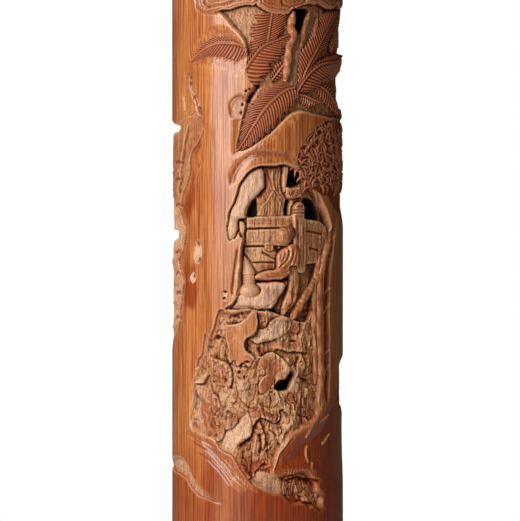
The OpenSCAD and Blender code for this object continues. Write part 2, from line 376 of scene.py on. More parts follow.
class Relief:
    """The wall's map: its depth, and the shares of polished skin, of dark red staining, which also serves
    as painted shade, and of pale fibre, partly rubbed and partly painted light.
    """

    def __init__(self, u, z):
        self.u, self.z = u, z
        blank = np.zeros((len(z), len(u)))
        self.depth, self.skin, self.stain, self.pale = (blank + start for start in (0, 1, 0, 0))
        self.wander = 0.0

    def near(self, points, margin):
        """The part of the map within a margin of some points: its index, its places round and its heights,
        with a little wander between them so that a hand-cut edge is not quite smooth."""
        low, high = points.min(0) - margin, points.max(0) + margin
        middle = (low[0] + high[0]) / 2
        u = (self.u - middle + ROUND / 2) % ROUND - ROUND / 2 + middle
        cols = np.nonzero((u > low[0]) & (u < high[0]))[0]
        rows = np.nonzero((self.z > low[1]) & (self.z < high[1]))[0]
        part, u, z = np.ix_(rows, cols), u[cols][None, :], self.z[rows][:, None]
        if self.wander:
            u, z = u + self.wander * WOBBLE_U[part], z + self.wander * WOBBLE_Z[part]
        return part, u, z

    def inside(self, outline, margin, sharp=False, steps=5):
        """The part of the map round a closed outline, the distance inward from it, and the places
        measured from its middle."""
        points = np.array(outline, float) if sharp else flowing(outline, True, steps)
        part, u, z = self.near(points, margin)
        middle = points.mean(0)
        return part, inward(points, u, z), (u - middle[0], z - middle[1])

    def colour(self, part, share, skin=None, stain=None, pale=None):
        """Moves the polish, stain and paleness of a part towards new values by a share."""
        for field, goal in ((self.skin, skin), (self.stain, stain), (self.pale, pale)):
            if goal is not None:
                field[part] += (goal - field[part]) * share

    def ground(self, outline, depth, slope=0.8, skin=0.0, stain=None, pale=None):
        """Cuts down to a depth inside an outline, over a slope that starts at its edge."""
        part, within, _ = self.inside(outline, 0.5)
        cut = smooth(within / slope)
        self.depth[part] = np.maximum(self.depth[part], depth * cut)
        self.colour(part, smooth(cut * 2), skin, stain, pale)

    def form(self, outline, top, drop=0.9, edge=1.1, lean=(0, 0), skin=0.3, stain=0.0, pale=0.0, lines=0.0,
             sharp=False):
        """Leaves a form standing: its middle lies at the depth top, it rounds off by drop over a width
        edge, and it leans by so many mm per mm round and up. Lines at a spacing follow its outline."""
        part, within, (across, up) = self.inside(outline, 0.6, sharp)
        rounding = drop * (1 - np.sqrt(1 - (1 - np.clip(within / edge, 0, 1)) ** 2))
        surface = top + rounding + lean[0] * across + lean[1] * up
        if lines:
            cut = 0.26 * np.exp(-(((within % lines) - lines / 2) / 0.17) ** 2)
            surface = surface + cut * (within < 3.4 * lines)
        inside = within > 0
        before = self.depth[part]
        self.depth[part] = np.where(inside, np.clip(surface, 0, WALL - 0.4), before)
        self.colour(part, 1.0 * inside, skin, stain, pale)
        moat = np.exp(-((within + 0.1) / 0.22) ** 2) * 0.35 * ~inside
        self.depth[part] += moat * smooth((before - top - drop + 0.3) / 0.9)

    def step(self, line, rise, fall, high=2.0, low=1.6, skin=None, stain=0.5, pale=None):
        """A cut edge along a line: the side on the left of its direction stands up by rise and the other
        drops by fall. Both die away with distance, over the lengths high and low, and towards the ends.
        A dark line of painted shadow is laid along the low side of the edge, and the high side takes
        polish and paleness, the paleness partly a painted highlight on the lit edge."""
        points = flowing(line, steps=4)
        part, u, z = self.near(points, max(high, low) * 2)
        gap, along, side = line_gap(points, u, z)
        taper = smooth(np.minimum(along, 1 - along) * 9 + 0.08)
        upper = side > 0
        change = np.where(upper, -rise * np.exp(-((gap / high) ** 1.5)),
                          fall * np.exp(-((gap / low) ** 1.5)))
        self.depth[part] = np.maximum(self.depth[part] + change * taper, 0)
        near = np.exp(-((gap / 0.4) ** 2)) * taper
        self.colour(part, near * ~upper, None, stain)
        self.colour(part, np.exp(-((gap / high) ** 2)) * taper * upper, skin, None, pale)

    def groove(self, line, width, depth, skin=None, stain=None):
        """Cuts a round-bottomed groove along a line, thin at both ends. Below 0 it is a ridge. The
        darkening given to a groove is partly painted shade in it.
        """
        points = flowing(line)
        part, u, z = self.near(points, width * 2)
        gap, along, _ = line_gap(points, u, z)
        taper = smooth(np.minimum(along, 1 - along) * 8 + 0.25)
        cut = np.exp(-((gap / (width * (0.4 + 0.6 * taper)) * 1.6) ** 2)) * taper
        self.depth[part] = np.maximum(self.depth[part] + depth * cut, 0)
        self.colour(part, smooth(cut * 1.5), skin, stain)

    def pit(self, u0, z0, across, up, depth, rim=0.0, stain=0.5):
        """A round hollow with a soft edge, and a raised lip round it if rim is above 0. Its inside is
        darkened, partly as painted shade.
        """
        centre = np.array([[u0, z0]], float)
        part, u, z = self.near(centre, max(across, up) * 2)
        far = np.hypot((u - u0) / across, (z - z0) / up)
        self.depth[part] += depth * smooth(1.25 - far) - rim * np.exp(-(((far - 1.25) / 0.22) ** 2))
        self.depth[part] = np.maximum(self.depth[part], 0)
        self.stain[part] = np.maximum(self.stain[part], stain * smooth(1.6 - far))

    def opening(self, outline):
        """Cuts right through the wall."""
        part, within, _ = self.inside(outline, 0.8, steps=3)
        edge = 0.8 * np.exp(-((within / 0.25) ** 2))
        self.depth[part] = np.where(within > 0, WALL + 1, self.depth[part] + edge)

    def tint(self, outline, soft=1.5, **goals):
        """Changes how polished, stained or pale a place is, without cutting it."""
        part, within, _ = self.inside(outline, 0.2)
        self.colour(part, smooth(within / soft), **goals)


def mottle(u, z, wide, high, seed):
    """Smooth random values from -1 to 1, on a lattice that joins up round the wall."""
    across = max(int(round(ROUND / wide)), 3)
    up = int(np.ceil((z.max() - z.min()) / high)) + 2
    lattice = np.random.default_rng(seed).uniform(-1, 1, (up, across))
    x, y = (u % ROUND) / ROUND * across, (z - z.min()) / high
    i, j = x.astype(int) % across, y.astype(int)
    s, t = smooth(x - np.floor(x)), smooth(y - np.floor(y))
    low = lattice[j, i] * (1 - s) + lattice[j, (i + 1) % across] * s
    above = lattice[j + 1, i] * (1 - s) + lattice[j + 1, (i + 1) % across] * s
    return low * (1 - t) + above * t


def shelves(u, z, wide, high, count, seed):
    """Broken layers: two sizes of mottle, cut into level shelves whose edges are steep."""
    height = mottle(u, z, wide, high, seed) + 0.45 * mottle(u, z, wide * 0.45, high * 0.45, seed + 1)
    height = height * count
    whole = np.floor(height)
    return (whole + smooth((height - whole - 0.72) / 0.28)) / count


front_columns = np.arange(-FRONT, FRONT + 0.01, FRONT_SPACING)
back_columns = np.linspace(FRONT, ROUND - FRONT, BACK_COLUMNS)[1:-1]
relief = Relief(np.concatenate([front_columns, back_columns]), np.linspace(CULM_BASE, CULM_TOP, ROWS))
U, Z = np.meshgrid(relief.u, relief.z)
WOBBLE_U, WOBBLE_Z = mottle(U, Z, 2.2, 2.6, 1), mottle(U, Z, 2.4, 2.2, 2)
ground, form, step = relief.ground, relief.form, relief.step
groove, pit, tint = relief.groove, relief.pit, relief.tint

# Ground behind the palms and the clouds, cut back first so that they stand clear of it.
relief.wander = 0.15
ground([(-13, 171.5), (-10, 168), (-8, 165.7), (-6, 164), (-4, 161), (-3.4, 157), (-3.6, 153),
        (-2.2, 149.6), (-1, 148), (-3, 146), (-4.4, 142), (-5.6, 137), (-6.6, 130.5), (-4, 129.6),
        (0, 131.6), (4, 134.4), (9, 138.8), (13, 141), (20, 140), (30, 139), (44, 141), (47, 160),
        (44, 175), (30, 178), (10, 176), (-6, 176)], 2.0, 1.0, pale=0.3)
ground([(-22, 181), (-21, 174), (-19.6, 170.4), (-13, 169.2), (-4, 171), (8, 169), (24, 170), (44, 168),
        (62, 172), (62, 183), (30, 184), (8, 184.5), (-8, 184)], 1.0, 1.2, 0.4, 0.3)
ground([(-24.5, 154), (-18, 153.4), (-12, 153.6), (-6, 151), (-1, 156), (-3, 162), (-8, 166), (-14, 166.4),
        (-19, 163.6), (-23, 158.4)], 0.55, 3.2, 0.9)
ground([(-8, 128), (-4, 127.8), (2, 130.4), (8, 135), (14, 141), (10, 151), (0, 150), (-7, 143),
        (-8.6, 135)], 0.5, 3.0, 0.9)
for turn in range(9):
    groove([(-11 + 1.3 * turn, 171), (-8 + 1.2 * turn, 167.4), (-5 + 1.1 * turn, 164)], 0.5, 0.25)
groove([(-12, 170), (-9.6, 167.2), (-6.4, 164), (-3.6, 160.8)], 0.6, -0.8, stain=0.0)

# Rock faces at the left: the skin steps down in long ledges towards a rough, pale cliff.
ledge = [(-16.6, 139), (-17.8, 134.5), (-20, 131.5), (-21.5, 130.3), (-23, 127.5), (-23, 124), (-24, 121),
         (-27, 118), (-28.5, 115), (-29.5, 112), (-27, 109.3), (-25.5, 107.5), (-25.8, 104), (-27, 101),
         (-30, 98), (-29, 95.5), (-26.5, 92), (-27.5, 89), (-28.5, 85), (-29.5, 80), (-32, 76.5), (-36, 75)]
ground([*ledge, (-46, 74), (-54, 90), (-54, 130), (-44, 137), (-32, 138), (-24, 140), (-19.4, 141)], 0.35,
       0.9, 0.5, 0.1, 0.1)
relief.wander = 0.5
ground([(-28, 111), (-26, 107.5), (-26.5, 104), (-27.8, 101), (-31, 98), (-30, 95), (-27.3, 92),
        (-28.4, 88.6), (-29.4, 85), (-30.6, 80), (-33, 77), (-38, 72), (-50, 62), (-60, 70), (-58, 110),
        (-50, 124), (-36, 116)], 0.6, 0.8, 0.0, 0.0, 0.4)
ground([(-29, 137.4), (-33, 138.2), (-46, 138.6), (-52, 136.6), (-46, 134.9), (-34, 134.7), (-30, 135.6)],
       2.5, 0.9)
ground([(-31, 106.8), (-36, 107.6), (-48, 107.4), (-48, 104), (-34, 103.8), (-31, 105)], 2.3, 0.9)
cliff = smooth((-25 - U) / 4) * smooth((U + 62) / 6) * smooth((152 - Z) / 6) * smooth((Z - 74) / 8)
cliff = cliff * (1 - relief.skin)
relief.depth -= cliff * 0.35 * shelves(U + WOBBLE_U, Z, 4.2, 6.5, 2.4, 41)
relief.wander = 0.2
for z0 in (126, 121, 113.4, 100, 93.6, 88, 81):
    groove([(-27.6, z0), (-31, z0 + 0.9), (-35, z0 + 0.2)], 0.8, 0.5, stain=0.6)
    groove([(-29.4, z0 - 1.4), (-33, z0 - 2.6), (-38, z0 - 2.2)], 0.9, -0.35, stain=0.3)
step([(-16.6, 127), (-18, 125.6), (-20, 123), (-22.5, 118), (-25, 115), (-29, 112)], 0.2, 0.5, 1.6, 1.8,
     stain=0.5)
step(ledge[::-1], 0.15, 0.6, 1.6, 1.8, stain=0.6)
step([(-31, 116), (-29.4, 122), (-28, 128), (-25.4, 134), (-24, 138)], 0.2, 0.6, 2, 2.4, stain=0.6)
tint([(-23, 128), (-20, 124), (-19, 116), (-22, 108), (-22, 98), (-19, 91), (-20, 84), (-26, 84), (-27, 92),
      (-26, 98), (-25, 108), (-28, 114), (-24, 121)], 2.5, stain=0.9)
tint([(-22.6, 97.6), (-20.4, 97), (-18.4, 92), (-19, 86), (-21.6, 82.6), (-24.4, 86), (-24.6, 92)], 2.0,
     stain=0.9)
tint([(-19, 128), (-17, 131), (-17.6, 134), (-20, 139), (-22.6, 140), (-23, 134), (-24, 129), (-22, 127)],
     1.4, stain=0.4)

# Stain in the skin: a patch at the lower left and the lower border; the right side is darkened as painted
# shade.
tint([(-17, 40), (-12, 39), (-11.6, 28), (-13, 20), (-17, 20), (-18, 30)], 2.5, stain=0.35)
relief.stain += 0.55 * smooth((48 - Z) / 16) * (1 + 0.8 * smooth((U + 12) / 14) * (U < 50))
# Painted shade: the whole right side, turned away from the light, is darkened with the staining colour.
relief.stain += 0.4 * smooth((U - 8) / 16) * smooth((52 - np.abs(U)) / 10)

# Garden niche: a rock arch opened in the wall, with a garden wall, a scholar at a stone and
# peaked mountains behind, and four windows cut right through.
relief.wander = 0.12
niche = [(-9.5, 107.2), (-9, 110), (-8.4, 112.6), (-7.2, 115), (-6.2, 117.4), (-5.6, 119.6), (-4.8, 121.2),
         (-3.4, 123.1), (-1.6, 124.7), (0.6, 125.5), (3, 125.6), (5.4, 125.6), (7, 126), (8.6, 125.9),
         (10.4, 125.2), (13.6, 124.2), (18, 119.6), (22, 115), (25, 110.4), (26.4, 106), (22.6, 98),
         (19.6, 92), (18.8, 84), (16, 79.6), (9, 81.4), (3.6, 83), (-2, 83.6), (-8.6, 83.8), (-6.3, 87),
         (-5.6, 91), (-5.3, 96), (-5, 101), (-4.6, 104), (-5.4, 106.4), (-7, 104)]
ground(niche, 3.0, 0.7)
groove([(-8, 119.6), (-7, 123), (-5.5, 125.6), (-3.9, 127.2), (-2, 128.4), (0.4, 129), (3, 129),
        (5.6, 128.8), (9, 128.4), (12, 127)], 1.5, 0.55, 0.75, 0.45)
step([(13.6, 124.2), (10.4, 125.1), (8.6, 125.8), (7, 125.9), (5.4, 125.5), (3, 125.5), (0.6, 125.4),
      (-1.6, 124.6), (-3.4, 123), (-4.8, 121.1), (-5.6, 119.5), (-6.2, 117.3), (-7.2, 114.9), (-8.4, 112.5),
      (-9, 110), (-9.5, 107.4)][::-1], 0.0, 0.9, 1.6, 0.8, stain=1.0)
tint([(-9, 112), (-8, 119), (-6, 123), (-3.6, 125.6), (-0.6, 127.2), (3, 127.6), (2.6, 126.4), (-1, 125.6),
      (-4, 123.6), (-6, 120), (-7.4, 115)], 0.8, pale=0.5)
form([(-9.3, 107.2), (-8.8, 110), (-8.1, 112.6), (-6.9, 115), (-5.9, 117.5), (-5.3, 119.6), (-4.4, 121.1),
      (-3, 122.8), (-1.2, 124.2), (0.6, 124.9), (1.7, 124.4), (2.3, 122.8), (2.3, 120.4), (2.1, 119.2),
      (1.3, 118.4), (0.4, 117.4), (-0.8, 116.4), (-1.8, 115.1), (-2.6, 113.5), (-3, 112), (-3.4, 110.7),
      (-4.6, 110), (-6, 109.8), (-6.3, 107.4), (-7.2, 104.6), (-8.6, 104)], 0.9, 1.1, 1.6, (0.12, 0), 0.1,
     0.0, 0.85)
form([(-5.6, 109.2), (-4.2, 109), (-4, 107.6), (-4.5, 105.6), (-5, 104.6), (-5.7, 106.6)], 1.4, 0.5, 0.6,
     pale=0.4)
pit(-4.9, 109.7, 0.6, 0.35, 1.2, 0, 1.0)
form([(0, 111), (0.6, 112.8), (1.5, 114), (2.7, 115), (3.7, 116.4), (4.9, 118.2), (6, 117.4), (7, 116.2),
      (8, 114.6), (8.6, 112.6), (8.8, 110.8)], 2.35, 0.5, 0.6, (0, 0), 0.0)
groove([(0.5, 112.4), (1.5, 113.8), (2.7, 114.9), (3.7, 116.2), (4.7, 117.8)], 0.5, -0.45)
groove([(5, 124.6), (4.9, 121.6), (5.3, 119.2), (6.5, 117.5), (7.7, 115.7)], 0.55, -0.6)
groove([(2.9, 124.6), (3.8, 122.3), (4.5, 120.6), (5, 119)], 0.6, 0.5, stain=0.5)
groove([(2.5, 123.6), (2.7, 121.2), (2.5, 119.2), (1.5, 117.6), (0.2, 116.4)], 0.9, 0.8, stain=0.6)
groove([(0.4, 111.4), (0.3, 113.4), (-0.4, 115)], 0.5, 0.5, stain=0.5)
for u0, z0 in ((1.2, 112.4), (2.2, 113.4), (3.1, 114.2), (3.9, 115.2), (5.6, 116.8), (6.6, 115.6),
               (7.4, 114.4)):
    groove([(u0, 111.2), (u0 + 0.15, (111 + z0) / 2), (u0 + 0.4, z0)], 0.32, 0.3, stain=0.35)
for u0 in (5.8, 6.7, 7.6):
    groove([(u0 + 0.4, 124.4), (u0, 121), (u0 + 0.5, 117.6)], 0.4, 0.3, stain=0.25)
form([(8.5, 125.2), (9.9, 124.9), (9.6, 122.4), (9.3, 119.6), (8.7, 117.6), (8.1, 119.4), (8.1, 123)], 1.7,
     0.5, 0.6, pale=0.3, stain=0.2)
form([(9, 119.1), (11.4, 119.3), (14, 119.2), (14.6, 116.8), (12, 116.2), (9.6, 116.2)], 1.2, 0.7, 0.9,
     skin=0.4, stain=0.5)

# Garden wall: boards between level rails, and a gatepost with a ringed bud finial.
relief.wander = 0.0
form([(-3.4, 110.7), (11.6, 111), (11.7, 107.7), (7, 107.6), (-3.6, 107.3)], 1.95, 0.25, 0.4, skin=0,
     sharp=True)
form([(-3.5, 107.1), (11.6, 107.4), (11.6, 102.3), (-4.1, 102.2)], 2.3, 0.2, 0.4, skin=0, pale=0.15,
     sharp=True)
form([(-4.2, 102), (11.6, 102.1), (11, 97.6), (-1.8, 97.6), (-3, 99), (-4.3, 100)], 2.6, 0.15, 0.4, skin=0,
     pale=0.25, sharp=True)
form([(-1.8, 97.4), (11, 97.4), (11, 93.6), (0.6, 93.8)], 2.85, 0.2, 0.5, skin=0, pale=0.1, sharp=True)
groove([(-1.4, 97.3), (2, 97.5), (6, 97.2)], 0.6, 0.3, stain=0.3)
groove([(-3.7, 107.2), (1, 107.35), (7.6, 107.55)], 0.45, 0.7, stain=0.8)
groove([(-4.3, 102.1), (-1, 102.15), (2.4, 102.25)], 0.45, 0.7, stain=0.8)
groove([(-4, 99.8), (-2.4, 97.2), (-0.4, 94.4)], 0.4, 0.4, stain=0.5)
for z0 in (109.4, 108.5, 105.8, 104.6, 103.4, 100.8, 99.4):
    groove([(-3, z0), (2, z0 + 0.2), (7, z0)], 0.3, 0.12)
form([(15.9, 110.2), (22.4, 109.4), (26, 108), (25, 101.6), (23.6, 97.4), (15.8, 96.8)], 1.8, 0.3, 0.4,
     skin=0, stain=0.1, sharp=True)
groove([(16.4, 106.6), (20, 106.2), (24, 105.6)], 0.5, 0.6, stain=0.8)
groove([(17.6, 101.7), (20, 101.3), (22.4, 100.8)], 0.5, 0.6, stain=0.8)
groove([(18.4, 109.3), (21.6, 109)], 0.5, -0.3)
form([(11.4, 111.2), (15.7, 111.2), (16.1, 104), (15.9, 95), (12.4, 95.6), (11.6, 104)], 1.3, 0.5, 0.7)
groove([(11.8, 110.6), (11.9, 108), (11.8, 105.2)], 0.6, -0.4)
groove([(14.3, 108.6), (14.3, 106), (14.5, 103)], 0.5, -0.3)
groove([(13, 110.4), (13.2, 104), (13.1, 97)], 0.4, 0.4, stain=0.5)
groove([(15.3, 110.4), (15.3, 104), (15.2, 97)], 0.4, 0.4, stain=0.5)
for z0 in (111.4, 112.3, 113.2):
    form([(11.9, z0 - 0.36), (15.6, z0 - 0.36), (15.8, z0), (15.6, z0 + 0.36), (11.9, z0 + 0.36),
          (11.7, z0)], 0.9, 0.5, 0.45, skin=0.5, stain=0.3, pale=0.3)
form([(12.4, 113.6), (15.1, 113.6), (15.2, 114.2), (14.6, 114.8), (13.8, 115), (13, 114.8), (12.3, 114.2)],
     1.0, 0.5, 0.6, skin=0.5, stain=0.7)

# Scholar's robe, sleeve and stone table, cut in low steps; the head and the burner are set proud.
relief.wander = 0.12
form([(-6, 87.4), (-5, 88), (-1.4, 87.8), (0.7, 88.6), (0.9, 90), (-0.4, 91.4), (3, 91.7), (6, 91.9),
      (8.4, 91.5), (8.9, 90.6), (8, 88.8), (6.7, 87.1), (6.1, 85.8), (4.7, 84.3), (3, 83.5), (0.8, 83.2),
      (-1, 83.6), (-4.4, 84), (-9.6, 83.9), (-7.4, 85.5)], 1.15, 0.7, 1.2, (0.04, -0.05), 0.0, 0.0, 0.9)
pit(3.3, 89.1, 0.75, 1.2, 0.3, 0.06, 0.25)
step([(9.4, 91.4), (8.2, 88.7), (7, 87), (6.3, 85.6), (5, 84.1), (3.4, 83)][::-1], 0.0, 1.2, 1, 1.3,
     stain=0.8)
groove([(-9, 84.2), (-5, 84.6), (-1, 84.3), (2.6, 84.3), (4.6, 85.6)], 0.5, 0.3, stain=0.25)
form([(6.1, 95.4), (6.2, 98), (6.4, 99.8), (7.4, 100.8), (9.6, 102), (10.6, 101.7), (10.4, 99.8),
      (9.8, 98.2), (8.6, 97.2), (7.4, 96.2)], 0.7, 0.8, 1.0, (0.05, 0), 0.4, 0.35)
form([(9.6, 102.2), (11.4, 102.8), (13.2, 101.9), (13.8, 99.6), (13.4, 97), (12.2, 94.8), (10.8, 93.4),
      (9, 92.7), (7, 92.3), (4, 92.1), (1.4, 92.1), (-0.8, 92.7), (-0.4, 93.8), (1.8, 94.7), (4, 95.2),
      (5.6, 95.4), (6.4, 96), (7.4, 96.9), (8.6, 97.8), (9.4, 98.8), (9.6, 100.2)], 0.5, 1.1, 1.7,
     (-0.02, 0.04), 0.65, 0.55)
groove([(10.3, 101.6), (10.4, 100), (9.9, 98.5), (8.7, 97.3), (7.2, 96.1)], 0.45, -0.35, stain=0.0)
form([(2.4, 102.9), (3.4, 103.3), (4.8, 102.9), (5.2, 101.6), (4.7, 100.8), (3.4, 100.8), (2.4, 101.6)],
     1.75, 0.4, 0.8, skin=0.2, stain=0.35)
groove([(2.6, 102.4), (3.8, 102.3), (5, 102)], 0.3, 0.35, stain=0.5)
groove([(2.8, 101.6), (4, 101.4), (4.8, 101.2)], 0.3, 0.35, stain=0.5)
groove([(5.8, 102.4), (6.6, 101), (8, 101.2), (9.4, 102.6)], 1.1, 1.2, stain=0.8)
groove([(1.2, 100.6), (3, 99.8), (4.6, 98.9), (6.4, 98.2)], 0.5, 0.7, stain=0.9)
for line in ([(12.4, 100.6), (11.9, 98), (10.6, 95.8), (8.4, 94.4), (5.4, 93.9)],
             [(11.4, 101.4), (11.2, 99), (10, 96.9), (8, 95.6)], [(9.8, 94), (6.4, 93.3), (3, 93.2)],
             [(8.8, 100.8), (8.3, 98.8), (7.2, 97.6)], [(7.4, 100.2), (7.2, 98.8), (6.6, 97.6)]):
    groove(line, 0.45, 0.3, stain=0.4)
# Painted shadow under the robe: two grooves darkened fully.
groove([(-0.9, 91.9), (0.4, 92.3), (2.4, 92), (3.8, 91.9), (5.6, 92.2), (8, 92.3), (9.8, 93), (10.8, 94.6)],
       0.7, 1.1, stain=1.0)
groove([(8, 92.1), (9.6, 92.7), (10.6, 93.8)], 1.3, 1.3, stain=1.0)
form([(9.6, 96), (12.6, 96.4), (13.4, 93), (12.2, 89.4), (11, 86.6), (10, 83.6), (8.4, 82), (7.8, 84),
      (9.4, 88), (10.6, 92)], 1.5, 0.6, 0.8, (0, 0), 0.0, 0.1)

# Tumbled rocks below the niche: one pale, broken surface whose layers lap over each other, so each
# edge is a step with a shadow under it, cut and also painted, with a few polished faces, knobs and holes.
relief.wander = 0.25
ground([(-9.5, 83.6), (-11.6, 83.9), (-12.5, 82), (-13.4, 79.2), (-14.7, 76.4), (-15.8, 76.4), (-16.9, 75),
        (-17.6, 71.4), (-19.2, 69), (-20.5, 66.5), (-22.4, 60), (-23, 54), (-22.6, 49.6), (-20, 48),
        (-17, 46.8), (-13, 45.4), (-12.4, 44.2), (-10.8, 42.8), (-8.6, 41.7), (-7.4, 41.2), (-6.7, 40),
        (-5.8, 38.4), (-5, 36.8), (-4, 35.4), (-2.6, 33.6), (-1.2, 32.4), (1.4, 31), (4, 30), (6.6, 29.3),
        (9, 27.2), (12, 26.6), (14, 27), (16, 25.6), (18, 26), (21.4, 24.2), (22.8, 25.4), (22, 27.6),
        (22.8, 29.6), (20.4, 31.6), (19.8, 34), (17, 36.2), (14, 37.6), (9, 36.4), (5.2, 36.4), (5.5, 38),
        (6.4, 41), (7.4, 43), (9.4, 45.4), (11.4, 47.6), (14, 49), (17, 50), (20.4, 53), (21.4, 60),
        (21.4, 70), (21.4, 80), (21.6, 90), (23, 98), (20, 94), (10, 82), (-2, 84)], 1.15, 1.5)
SMOOTH_FACES = [
    [(-10, 79.4), (-7, 79.6), (-4, 80.4), (-2, 82.6), (-0.3, 83), (0, 78), (-3, 75.4), (-3.4, 72),
     (-1.4, 69.6), (-2.6, 67), (-4.2, 68.4), (-6, 67), (-7, 69), (-8.8, 68), (-9, 72), (-9.8, 75)],
    [(-2.8, 75), (0, 74.3), (4.6, 74.8), (8, 76), (9.4, 79), (8, 82), (5, 80.2), (3.4, 78.4), (0.6, 77.8)],
    [(0.6, 69.6), (5, 70.6), (8, 68), (8.6, 65.6), (7, 64), (3, 65), (0.4, 66.6)],
    [(-12, 45), (-10.6, 48), (-6, 51.4), (-3, 54), (-1.4, 51), (-2.4, 47.4), (-6, 44.4), (-7.6, 42),
     (-10, 43)],
    [(-2.6, 34.4), (-0.6, 36.8), (2.4, 37), (5, 36.2), (7.4, 35), (9, 33), (9, 29.6), (6, 30), (2, 30.8),
     (-0.8, 32.4)],
]
garden = smooth((100 - Z) / 8) * smooth((Z - 25) / 3) * (np.abs(U) < 40)
garden = garden * smooth((relief.depth - 0.8) / 0.4) * (1 - relief.skin)
for outline in SMOOTH_FACES:
    part, within, _ = relief.inside(outline, 0.2)
    garden[part] *= 1 - 0.6 * smooth(within / 0.9)
low_rocks = garden * (Z < 84)
relief.depth -= low_rocks * 0.62 * shelves(U + 1.2 * WOBBLE_U, Z + 0.35 * U, 5.4, 5.0, 2.6, 5)
relief.stain += garden * smooth(mottle(U, Z, 6, 5, 7) * 2 - 0.4) * 0.35
relief.pale += garden * smooth(mottle(U, Z, 5, 6, 9) * 2 - 0.2) * 0.35 * (U < 9)
relief.depth -= low_rocks * 0.5 * shelves(U + 0.8 * WOBBLE_U, Z + 0.3 * U, 2.3, 3.2, 1.8, 55)
for wide, high, seed in ((3.4, 4.6, 31), (2.2, 3.4, 33), (1.5, 2.6, 35)):
    wrinkle = np.exp(-((mottle(U + 0.6 * WOBBLE_U, Z + 0.25 * U, wide, high, seed) / 0.09) ** 2))
    relief.depth += low_rocks * 0.55 * wrinkle * smooth(mottle(U, Z, 6, 6, seed + 1) + 0.7)

# Upper rocks: a polished face at the left with a deep step round it, a pale hollow, a round boulder
# over a dark gap, and small knobs, layers and holes between them.
form(SMOOTH_FACES[0], 0.3, 0.4, 1.0, (-0.02, -0.02), 0.8, 0.15)
step([(-0.2, 69.4), (-1.5, 70.5), (-3, 71.6), (-3.9, 73), (-3.8, 74.5), (-2.8, 75.6), (-1.2, 76.2),
      (-0.1, 77), (0.2, 78.6), (0.1, 81), (-0.2, 83.2)], 0.55, 1.2, 3.0, 1.7, stain=1.0)
step([(-0.2, 83.2), (-2, 82.9), (-3.4, 81.6), (-4.8, 80.1), (-7, 79.5), (-9, 79.3), (-9.9, 80.2)], 0.3, 0.8,
     1.8, 1.4, stain=0.2, pale=0.2)
groove([(-9.8, 79.9), (-8.8, 79.2), (-7, 79.5), (-4.9, 80.1), (-3.5, 81.6), (-2, 82.8), (-0.8, 83.1)], 0.5,
       -0.25)
groove([(-8.9, 80.4), (-8.6, 81.6), (-7.4, 82.1), (-6.2, 81.7), (-5.4, 80.9)], 0.5, 0.6, stain=0.5)
groove([(-8, 80.6), (-7.4, 81.2), (-6.4, 80.8)], 0.4, -0.4)
pit(-4.8, 82.6, 0.5, 0.6, 0.7, 0, 0.6)
step([(-15.3, 75), (-14.6, 76.4), (-13.4, 79), (-12.5, 81.8), (-11.7, 83.6), (-9.6, 83.5)], 0.0, 0.7, 1, 1,
     stain=0.9)
step([(-20.6, 66.4), (-19.5, 68.8), (-17.9, 71), (-17.4, 74), (-16.8, 77)], 0.0, 0.6, 1, 1, stain=0.9)
pit(-12.8, 75.6, 1.1, 0.7, 0.8, 0.2, 0.5)
groove([(-13.4, 76.8), (-12.6, 77.6), (-11.6, 77.3), (-11.2, 76.6)], 0.35, 0.35, stain=0.4)
step([(-20.6, 62.3), (-18, 62.2), (-16.6, 63.3), (-15.7, 65)], 0.7, 0.6, 2.6, 1.4, stain=0.9, pale=0.4)
step([(-9.8, 60.4), (-8.3, 62.6), (-7.9, 65), (-8.9, 67), (-10.4, 68.4), (-12.6, 69.1), (-15.2, 69.8)], 0.5,
     0.6, 2.8, 1.4, stain=0.8)
tint([(-14.6, 69), (-11, 68), (-9, 66), (-9, 63), (-12, 61.8), (-14.8, 63), (-14.6, 66)], 1.0, skin=0.5,
     stain=0.55)
groove([(-12.4, 68.2), (-10.6, 67.8), (-9.6, 66.8)], 0.6, -0.35, stain=0.0)
step([(-13.6, 62.4), (-12, 61.7), (-10.4, 61.6)], 0.2, 0.4, 1.0, 0.8, stain=0.8)
step([(-10.5, 53.8), (-11.5, 55.6), (-12.2, 57.2), (-13, 58.8), (-14.4, 60.4), (-15.6, 62.5)], 0.5, 0.5,
     1.6, 1.2, stain=0.8)
tint([(-15.8, 60.6), (-14, 59.6), (-12.2, 57), (-12, 54.6), (-14, 55), (-15.6, 57.6)], 0.7, skin=0.5,
     stain=0.6)
pit(-3.1, 68.6, 0.8, 0.35, 1.3, 0.1, 1.0)
pit(-4.6, 64.6, 1.6, 1.5, 0.5, 0.3, 0.1)
pit(-5.6, 65.5, 0.45, 0.5, 1.3, 0.0, 1.0)
pit(-4.1, 64, 0.45, 0.6, 1.0, 0.0, 0.7)
step([(-6.7, 62), (-6.2, 60.2), (-5.8, 58.5), (-4.6, 57), (-2.8, 55.7), (-1.2, 54.8)], 0.4, 0.3, 2.4, 1.2,
     stain=0.7)
step([(-8.6, 57), (-7.4, 56.6), (-6.6, 57.2)], 0.2, 0.3, 0.8, 0.7, stain=0.8)
step([(8, 63.3), (9.4, 65), (9.9, 66.6), (8.8, 68.6), (7.2, 70.3), (5.4, 71.4), (3.6, 71.3), (1.6, 70.4),
      (0, 70.2)], 0.6, 1.0, 3.6, 1.5, stain=0.8)
tint(SMOOTH_FACES[2], 1.2, skin=0.3, stain=0.45)
form([(0.4, 59.7), (0.3, 61.4), (1.1, 63.2), (2.4, 64.6), (4, 65.1), (5.3, 64.3), (5.3, 62.7), (4.2, 61.2),
      (2.8, 59.8), (1.4, 59.1)], 0.6, 0.5, 1.3, (0.1, 0), 0.45, 0.6)
groove([(0.5, 61.4), (1.4, 63.3), (2.8, 64.7)], 0.4, -0.25, stain=0.0)
